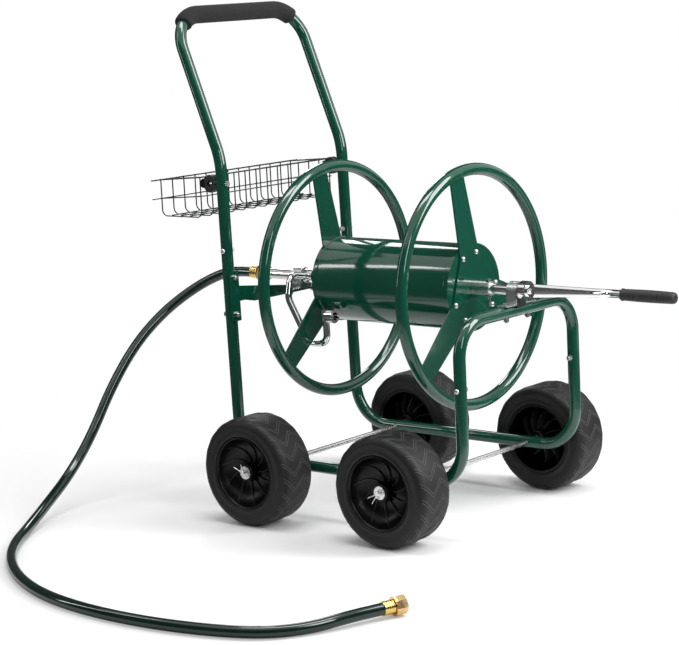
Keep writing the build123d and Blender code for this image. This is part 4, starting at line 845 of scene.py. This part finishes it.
# %% [markdown]
# The crank's grip is a moulded rubber sleeve: a low flange at the arm, a slight barrel for the palm,
# shallow rings that stop the hand slipping, and a rounded end with a dimple. One outline turned about
# the spindle gives all of that.

# %% Crank grip
grip_low, grip_high = (Vector(corner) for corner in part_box("crank_grip"))
grip_start = Vector((grip_low.x, (grip_low.y + grip_high.y) / 2, (grip_low.z + grip_high.z) / 2))
GRIP_LENGTH = (grip_high.x - grip_low.x) / MM
GRIP_RADIUS = 11.0
GRIP_SWELL = 0.85
GRIP_RING_START = 10.0
GRIP_RING_STEP = 4.6
GRIP_RING_COUNT = 18
GRIP_GROOVE = [(0.0, 0.0), (0.45, 0.9), (0.45, 1.3), (0.0, 2.2)]
GRIP_FLANGE = [(5.1, 0.3), (11.2, 0.2), (11.9, 1.2), (11.9, 3.0), (11.3, 4.6), (10.9, 7.0)]
GRIP_END = [
    (11.2, 14.0), (11.1, 6.0), (10.2, 2.0), (8.4, 0.3), (5.0, 0.0), (3.4, 0.3), (2.6, 2.2),
    (0.0, 2.6), (0.0, 5.6), (5.1, 5.9),
]


def grip_outline():
    """Flange, ringed barrel and end, where the end's points count back from the tip."""
    outline = list(GRIP_FLANGE)
    for ring in range(GRIP_RING_COUNT):
        along = GRIP_RING_START + GRIP_RING_STEP * ring
        swell = GRIP_RADIUS + GRIP_SWELL * math.sin(math.pi * along / GRIP_LENGTH)
        outline += [(swell - depth, along + step) for depth, step in GRIP_GROOVE]
    return outline + [(radius, GRIP_LENGTH - back) for radius, back in GRIP_END]


grip_shape = turned(grip_outline(), grip_start, (1, 0, 0), segments=64)
made("crank_grip_sleeve", [grip_shape], "crank_grip", "grip_rubber", "crank_grip", sharp_angle=50)

# %% [markdown]
# A brass clamp ferrule holds each end of the hose, and a red-brass nut sits on it. The ferrule has
# pressed ridges, and the nut has eight flats with turned-down corners: a turned shape with only eight
# steps gives the flats, and its outline gives the corners.

# %% Hose couplings
FERRULE_LENGTH = 20.0
FERRULE_BORE = 10.05
FERRULE_EDGE = 11.2
FERRULE_RIDGE = 11.6
FERRULE_GROOVE = [(FERRULE_RIDGE, 0.0), (10.9, 0.8), (10.9, 1.6), (FERRULE_RIDGE, 2.4)]
FERRULE_LIP = [(FERRULE_RIDGE, 19.4), (FERRULE_EDGE, FERRULE_LENGTH), (FERRULE_BORE, FERRULE_LENGTH)]
RIDGE_START = 2.2
RIDGE_STEP = 4.3
RIDGE_COUNT = 4
NUT_START = 20.4
NUT_LENGTH = 20.0
NUT_CORNER = 16.5
NUT_CHAMFER = 2.2
NUT_FLATS = [
    (14.5, 0.0), (15.1, 0.0), (NUT_CORNER, NUT_CHAMFER), (NUT_CORNER, NUT_LENGTH - NUT_CHAMFER),
    (15.1, NUT_LENGTH), (14.5, NUT_LENGTH),
]
NUT_BORE = [
    (8.6, 0.2), (14.8, 0.1), (14.8, 19.9), (13.3, 19.4), (13.3, 12.1), (13.8, 11.8), (13.8, 6.0),
    (8.6, 6.0),
]
TAILPIECE = [(5.5, 19.0), (8.4, 19.0), (8.4, 26.8), (12.0, 26.8), (12.0, 29.3), (5.5, 29.3)]


def ferrule_outline():
    """A sleeve with pressed ridges and softened edges."""
    outline = [(FERRULE_BORE, 0.0), (FERRULE_EDGE, 0.0), (FERRULE_RIDGE, 0.8)]
    for ridge in range(RIDGE_COUNT):
        along = RIDGE_START + ridge * RIDGE_STEP
        outline += [(radius, along + step) for radius, step in FERRULE_GROOVE]
    return outline + FERRULE_LIP


far_heading = (hose_route[-1] - hose_route[-2]).normalized()
hose_fittings = [nodes["coupling_washers"]]
for end_name, place, heading, nut_node, nut_body in (
    ("inlet", hose_route[0], Vector((1, 0, 0)), "inlet_nut", "frame"),
    ("hose", hose_route[-1], far_heading, "hose_end_nut", "hose_end_nut"),
):
    ferrule_shapes = [turned(outline, place, heading, 48) for outline in (ferrule_outline(), TAILPIECE)]
    clamp_name, clamp_node = end_name + "_clamp_ferrule", end_name + "_ferrule"
    clamp = made(clamp_name, ferrule_shapes, "frame", "brass", clamp_node, sharp_angle=50)
    nut_place = place + heading * NUT_START * MM
    nut_shapes = [turned(NUT_FLATS, nut_place, heading, 8), turned(NUT_BORE, nut_place, heading, 48)]
    nut = made(end_name + "_flat_nut", nut_shapes, nut_body, "brass_nut", nut_node)
    hose_fittings += [clamp, nut]

# %% [markdown]
# Round-headed bolts hold the tubes and the spider arms, where the solids have plain hexagon heads. A
# pattern bolt has a domed head, a shank and a nut across its grip. The tree sets one in every hole and
# turns it to face along the hole.

# %% Bolts
DOME_RADIUS = 4.9
DOME_HEIGHT = 3.6
DOME_EDGE = 0.8
DOME_STEPS = 6
SHANK_RADIUS = 3.0
SHANK_CHAMFER = 0.6
SHANK_LAP = 0.1
NUT_RADIUS = 5.5
NUT_HEIGHT = 5.0
BOLT_TAIL = 7.0


def bolt_shapes(grip):
    """A domed bolt along Z with its seat at the origin, and its nut across the grip."""
    head = [(0.0, 0.0), (DOME_RADIUS, 0.0), (DOME_RADIUS, DOME_EDGE)]
    for step in range(1, DOME_STEPS + 1):
        angle = math.radians(90 * step / DOME_STEPS)
        level = DOME_EDGE + (DOME_HEIGHT - DOME_EDGE) * math.sin(angle)
        head.append((DOME_RADIUS * math.cos(angle), level))
    end = -grip - BOLT_TAIL
    shank = [(0.0, SHANK_LAP), (SHANK_RADIUS, SHANK_LAP), (SHANK_RADIUS, end + SHANK_CHAMFER)]
    shank += [(SHANK_RADIUS - SHANK_CHAMFER, end), (0.0, end)]
    nut_end = -grip - NUT_HEIGHT
    nut = [(SHANK_RADIUS, -grip), (NUT_RADIUS, -grip), (NUT_RADIUS, nut_end), (SHANK_RADIUS, nut_end)]
    outlines = ((head, 24), (shank, 16), (nut, 6))
    return [turned(outline, Vector(), (0, 0, 1), sides) for outline, sides in outlines]


heads = Tree("bolt_heads", Seats="Object", Head="Object", Steel="Material")
seats = heads.shape("Seats")
facing = heads.node(
    "GeometryNodeInputNamedAttribute", out="Attribute", data_type="FLOAT_VECTOR", Name="facing"
)
aligned = heads.node("FunctionNodeAlignRotationToVector", axis="Z", Vector=facing)
head = heads.shape("Head")
set_heads = heads.copies(seats, head, aligned)
heads.finish(set_heads, heads.given["Steel"])

FRONT_LEG_X = 0.256024
LEG_OUTER_Y = 0.1881
FRONT_BOLT_Z = 0.2745
REAR_BOLT_Z = 0.496
REAR_FOOT = Vector((-0.271976, 0, 0.1015))
LEAN_SLOPE = math.tan(math.radians(1.15))
REEL_AXIS_Z = 0.426
SPIDER_ANGLES = [101.6, 221.6, 341.6]
SPIDER_BOLT_REACH = 0.061
SPIDER_BOLT_HALF = 0.0205


def leg_x(z):
    """Where the leaning rear leg is at a height."""
    return REAR_FOOT.x - (z - REAR_FOOT.z) * LEAN_SLOPE


frame_seats = []
for side in (-1, 1):
    for x, z in ((FRONT_LEG_X, FRONT_BOLT_Z), (leg_x(REAR_BOLT_Z), REAR_BOLT_Z)):
        frame_seats.append((Vector((x, side * LEG_OUTER_Y, z)), Vector((0, side, 0))))
reel_seats = []
for face_x, heading_x in ((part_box("spider_front")[1][0], 1), (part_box("spider_rear")[0][0], -1)):
    on_axis = Vector((face_x, 0, REEL_AXIS_Z))
    for angle in (math.radians(value) for value in SPIDER_ANGLES):
        out = Vector((0, math.cos(angle), math.sin(angle)))
        side_way = Vector((0, -math.sin(angle), math.cos(angle)))
        for step in (-1, 1):
            spot_on_arm = on_axis + out * SPIDER_BOLT_REACH + side_way * step * SPIDER_BOLT_HALF
            reel_seats.append((spot_on_arm, Vector((heading_x, 0, 0))))


def seat_points(name, seats_and_headings):
    """Loose points that each carry the way their bolt faces."""
    mesh = bpy.data.meshes.new(name)
    mesh.from_pydata([tuple(place) for place, heading in seats_and_headings], [], [])
    layer = mesh.attributes.new("facing", "FLOAT_VECTOR", "POINT")
    for spot, (place, heading) in zip(layer.data, seats_and_headings):
        spot.vector = heading
    return add_object(name, mesh)


LEG_GRIP = 22.2
SPIDER_GRIP = 5.0
for body, bolt_seats, grip, hidden in (
    ("frame", frame_seats, LEG_GRIP, "frame_joint_bolts"),
    ("reel", reel_seats, SPIDER_GRIP, "spider_bolts"),
):
    seat_object = seat_points(body + "_bolt_seats", bolt_seats)
    pattern = add_object("bolt_pattern", shaped_mesh("bolt_pattern", *together(bolt_shapes(grip))))
    zinc = finishes["zinc_steel"]
    domed_bolts = heads.grow(body + "_domed_bolts", Seats=seat_object, Head=pattern, Steel=zinc)
    dress(domed_bolts, body, "zinc_steel", hidden)
    bpy.data.objects.remove(seat_object)
    bpy.data.objects.remove(pattern)

# %% [markdown]
# Where one leg tube is pushed into the next, the paint breaks and a fine dark line runs round the leg.
# A thin turned band, a hair proud of the tube, draws that line.

# %% Leg joints
JOINT_BAND = [(10.6, -0.7), (11.25, -0.5), (11.25, 0.5), (10.6, 0.7)]
FRONT_SEAM_Z = 0.2495
REAR_SEAM_Z = 0.478
LEG_Y = 0.177
joint_bands = []
for side in (-1, 1):
    front_seam = Vector((FRONT_LEG_X, side * LEG_Y, FRONT_SEAM_Z))
    rear_seam = Vector((leg_x(REAR_SEAM_Z), side * LEG_Y, REAR_SEAM_Z))
    joint_bands.append(turned(JOINT_BAND, front_seam, (0, 0, 1), 48))
    joint_bands.append(turned(JOINT_BAND, rear_seam, (-LEAN_SLOPE, 0, 1), 48))
made("leg_joint_lines", joint_bands, "frame", "seal_rubber")

# %% [markdown]
# A moulded black eye stands between each rear leg and the basket, with a neck and a washer inside the
# basket for its bolt. All three are turned shapes, so the clip's end is round.

# %% Basket clips
CLIP_Z = 0.622
EYE_RADIUS = 17.0
EYE_HALF = [(EYE_RADIUS, 5.4), (15.4, 7.0), (7.4, 7.0), (6.0, 6.0)]
EYE_RING = [(radius, -along) for radius, along in reversed(EYE_HALF)] + EYE_HALF
CLIP_NECK = [(3.2, 13.0), (8.5, 13.0), (7.6, 18.0), (3.2, 18.0)]
CLIP_WASHER = [(3.2, 0.0), (9.0, 0.0), (9.0, 1.4), (8.4, 2.0), (3.2, 2.0)]
GRILLE_WIRE = 0.003
clip_shapes = []
for side in (-1, 1):
    eye_place = Vector((basket_high.x + EYE_RADIUS * MM, side * LEG_Y, CLIP_Z))
    washer_place = Vector((basket_high.x - GRILLE_WIRE, side * LEG_Y, CLIP_Z))
    clip_shapes.append(turned(EYE_RING, eye_place, (0, 1, 0), 48))
    clip_shapes.append(turned(CLIP_NECK, eye_place, (1, 0, 0), 32))
    clip_shapes.append(turned(CLIP_WASHER, washer_place, (-1, 0, 0), 32))
made("basket_eye_clips", clip_shapes, "frame", "black_plastic", "basket_clips")

# %% [markdown]
# The wheels are held by split pins through the ends of the axles, with their legs bent apart by hand, so
# no two look the same. Each is bent wire: a small eye on one side of the axle, two legs on the other.

# %% Split pins
PIN_WIRE = 1.15
PIN_TIP = 0.92
PIN_Y = 0.2856
PIN_BACK = 0.005
PIN_BEND = 0.004
LEG_LIFT = 0.6
LOOP_REACH = 0.0085
LOOP_RADIUS = 0.0031
LOOP_SWEEP = 380
LOOP_STEPS = 16
PIN_LEGS = {
    "front_near": ((-155, 25), (-122, 22)),
    "rear_near": ((158, 24), (100, 17)),
    "front_far": ((-30, 24), (15, 20)),
    "rear_far": ((40, 23), (75, 18)),
}


def round_axle(degrees):
    """A direction square to the axles."""
    return Vector((math.cos(math.radians(degrees)), 0, math.sin(math.radians(degrees))))


pin_shapes = []
for wheel, legs in PIN_LEGS.items():
    hub_place = middle("tyre_" + wheel)
    side = outward(wheel).y
    hub_end = Vector((hub_place.x, side * PIN_Y, hub_place.z))
    for spot, (degrees, reach) in enumerate(legs):
        way = round_axle(degrees)
        lift = Vector((0, side, 0)) * (LEG_LIFT + spot) * MM
        leg_path = [hub_end - way * PIN_BACK, hub_end + way * PIN_BEND + lift]
        leg_path.append(hub_end + way * reach * MM + 2 * lift)
        pin_shapes.append(swept(leg_path, [PIN_WIRE, PIN_WIRE, PIN_TIP], sides=10))
    loop_way = -round_axle(legs[0][0])
    loop_side = loop_way.cross(Vector((0, 1, 0)))
    loop_path = []
    for step in range(LOOP_STEPS + 1):
        angle = math.radians(LOOP_SWEEP / 2 - LOOP_SWEEP * step / LOOP_STEPS)
        bow = (loop_way * math.cos(angle) + loop_side * math.sin(angle)) * LOOP_RADIUS
        loop_path.append(hub_end + loop_way * LOOP_REACH + bow)
    pin_shapes.append(swept(loop_path, [PIN_WIRE] * len(loop_path), sides=10))
made("split_pins", pin_shapes, "frame", "zinc_steel", "cotter_pins", sharp_angle=60)

# %% [markdown]
# The cart stands in a white studio. Near the wheels the floor is plain pale paper that takes the
# shadows. Further out it goes over to pure white for every ray that sees it, so that no horizon shows.

# %% Floor


def seeing_rays(tree):
    """One for camera, glossy and transmission rays, nought for the rays that carry soft light."""
    rays = add_node(tree, "ShaderNodeLightPath").outputs
    seen = rays["Is Camera Ray"]
    for kind in ("Is Glossy Ray", "Is Transmission Ray"):
        seen = add_node(tree, "ShaderNodeMath", operation="MAXIMUM", _0=seen, _1=rays[kind]).outputs[0]
    return seen


def reach_fade(tree, near, far, first, last, shape="LINEAR"):
    """A value that goes from first to last between two distances from the middle of the set."""
    place = add_node(tree, "ShaderNodeTexCoord").outputs["Object"]
    reach = add_node(tree, "ShaderNodeVectorMath", operation="LENGTH", _0=place).outputs["Value"]
    fade = add_node(
        tree, "ShaderNodeMapRange", interpolation_type=shape, Value=reach, From_Min=near,
        From_Max=far, To_Min=first, To_Max=last,
    )
    return fade.outputs["Result"]


FLOOR_REACH = 25.0
SHADOW_REACH = 0.50
WHITE_FROM = 1.3
PAPER_WHITE = (0.94, 0.94, 0.94, 1)
floor_corners = [(FLOOR_REACH * x, FLOOR_REACH * y, 0) for x, y in ((-1, -1), (1, -1), (1, 1), (-1, 1))]
floor_mesh = bpy.data.meshes.new("studio_floor")
floor_mesh.from_pydata(floor_corners, [], [(0, 1, 2, 3)])
floor = add_object("studio_floor", floor_mesh)
floor_paper, paper, paper_shader = new_material("floor_paper")
fill(paper, paper_shader, Base_Color=PAPER_WHITE, Roughness=0.8, Specular_IOR_Level=0.1)
paper_fade = reach_fade(paper, SHADOW_REACH, WHITE_FROM, 0.0, 1.0, "SMOOTHSTEP")
paper_share = add_node(
    paper, "ShaderNodeMath", operation="MULTIPLY", _0=paper_fade, _1=seeing_rays(paper)
)
paper_mix = add_node(
    paper, "ShaderNodeMixShader", _0=paper_share.outputs[0], _1=paper_shader.outputs[0],
    _2=add_node(paper, "ShaderNodeEmission").outputs[0],
)
fill(paper, paper.nodes["Material Output"], Surface=paper_mix.outputs[0])
floor_mesh.materials.append(floor_paper)
print("floor", FLOOR_REACH * 2, "m")

# %% [markdown]
# Gloss paint and chrome show whatever stands round them. The studio is white to the eye, with an even
# soft light. As in a real product studio a dark curtain hangs round the set and spreads over the floor:
# it is seen in reflections only and keeps the paint deep. It is low at the back right, where the chrome
# crank looks, and has a hood over the back left, where the top of the drum looks. The softboxes draw
# the long highlights, one narrow strip serves the hose, and a small card serves the crank's hub.

# %% Studio light
SOFT_LEVEL = 0.36
LOW_CLOTH = [(0.60, 0.003), (2.3, 0.003), (2.3, 1.0)]
HIGH_CLOTH = [(2.3, 1.0), (2.3, 2.2)]
HOOD_CLOTH = [(2.3, 2.2), (2.3, 3.0), (0.02, 3.0)]
OPEN_TURN = math.radians(100)
CURTAIN_SIDES = 48
CLOTH_WHITE = 0.9
CLOTH_DARK = 0.06
CLOTH_FADE = (0.65, 1.25)
world = bpy.data.worlds.new("studio")
world.use_nodes = True
bpy.context.scene.world = world
sky = world.node_tree
backdrop = add_node(
    sky, "ShaderNodeMix", data_type="RGBA", Factor=seeing_rays(sky),
    A=(SOFT_LEVEL, SOFT_LEVEL, SOFT_LEVEL, 1), B=(1, 1, 1, 1),
)
fill(sky, sky.nodes["Background"], Color=backdrop.outputs["Result"])


def cloth_sheet(outline, first, last):
    """An outline of (radius, level) points, swung round the set from one turn to another."""
    rings = []
    for step in range(CURTAIN_SIDES + 1):
        turn = first + (last - first) * step / CURTAIN_SIDES
        out = Vector((math.cos(turn), math.sin(turn), 0))
        rings.append([out * radius + Vector((0, 0, level)) for radius, level in outline])
    return skinned(rings, closed=False)


curtain_points, curtain_faces = together([
    cloth_sheet(LOW_CLOTH, 0.0, math.tau),
    cloth_sheet(HIGH_CLOTH, OPEN_TURN, math.tau),
    cloth_sheet(HOOD_CLOTH, OPEN_TURN, math.pi),
])
curtain_mesh = bpy.data.meshes.new("studio_curtain")
curtain_mesh.from_pydata(curtain_points, [], curtain_faces)
curtain_cloth, cloth, cloth_shader = new_material("curtain_cloth")
cloth_tone = reach_fade(cloth, *CLOTH_FADE, CLOTH_WHITE, CLOTH_DARK)
fill(cloth, cloth_shader, Roughness=1.0, Base_Color=cloth_tone)
curtain_mesh.materials.append(curtain_cloth)
curtain = add_object("studio_curtain", curtain_mesh)
for ray in ("camera", "diffuse", "shadow", "transmission"):
    setattr(curtain, "visible_" + ray, False)


def softbox(name, place, target, width, tall, power):
    """An area lamp of a size and a power in watts, turned to a target."""
    lamp = bpy.data.lights.new(name, "AREA")
    lamp.shape = "RECTANGLE"
    lamp.size = width
    lamp.size_y = tall
    lamp.energy = power
    piece = add_object(name, lamp)
    piece.location = place
    piece.rotation_euler = (Vector(target) - Vector(place)).to_track_quat("-Z", "Y").to_euler()


softbox("top_softbox", (0.1, -0.3, 2.9), (0, 0, 0.4), 2.0, 0.5, 32)
softbox("right_softbox", (1.75, 0.8, 1.65), (0, 0, 0.6), 0.9, 2.0, 58)
softbox("hose_strip", (1.37, -0.79, 1.08), (-0.56, -0.2, 0.25), 0.25, 0.7, 5)
softbox("hub_card", (1.36, 1.13, 0.20), (0.40, 0.0, 0.43), 0.36, 0.36, 0.5)
softbox("left_strip", (-1.5, -1.3, 1.3), (0, 0, 0.45), 0.12, 1.6, 6)
softbox("back_strip", (-1.6, 1.3, 1.6), (0, 0, 0.5), 0.4, 1.2, 10)
print("softboxes:", len(bpy.data.lights))
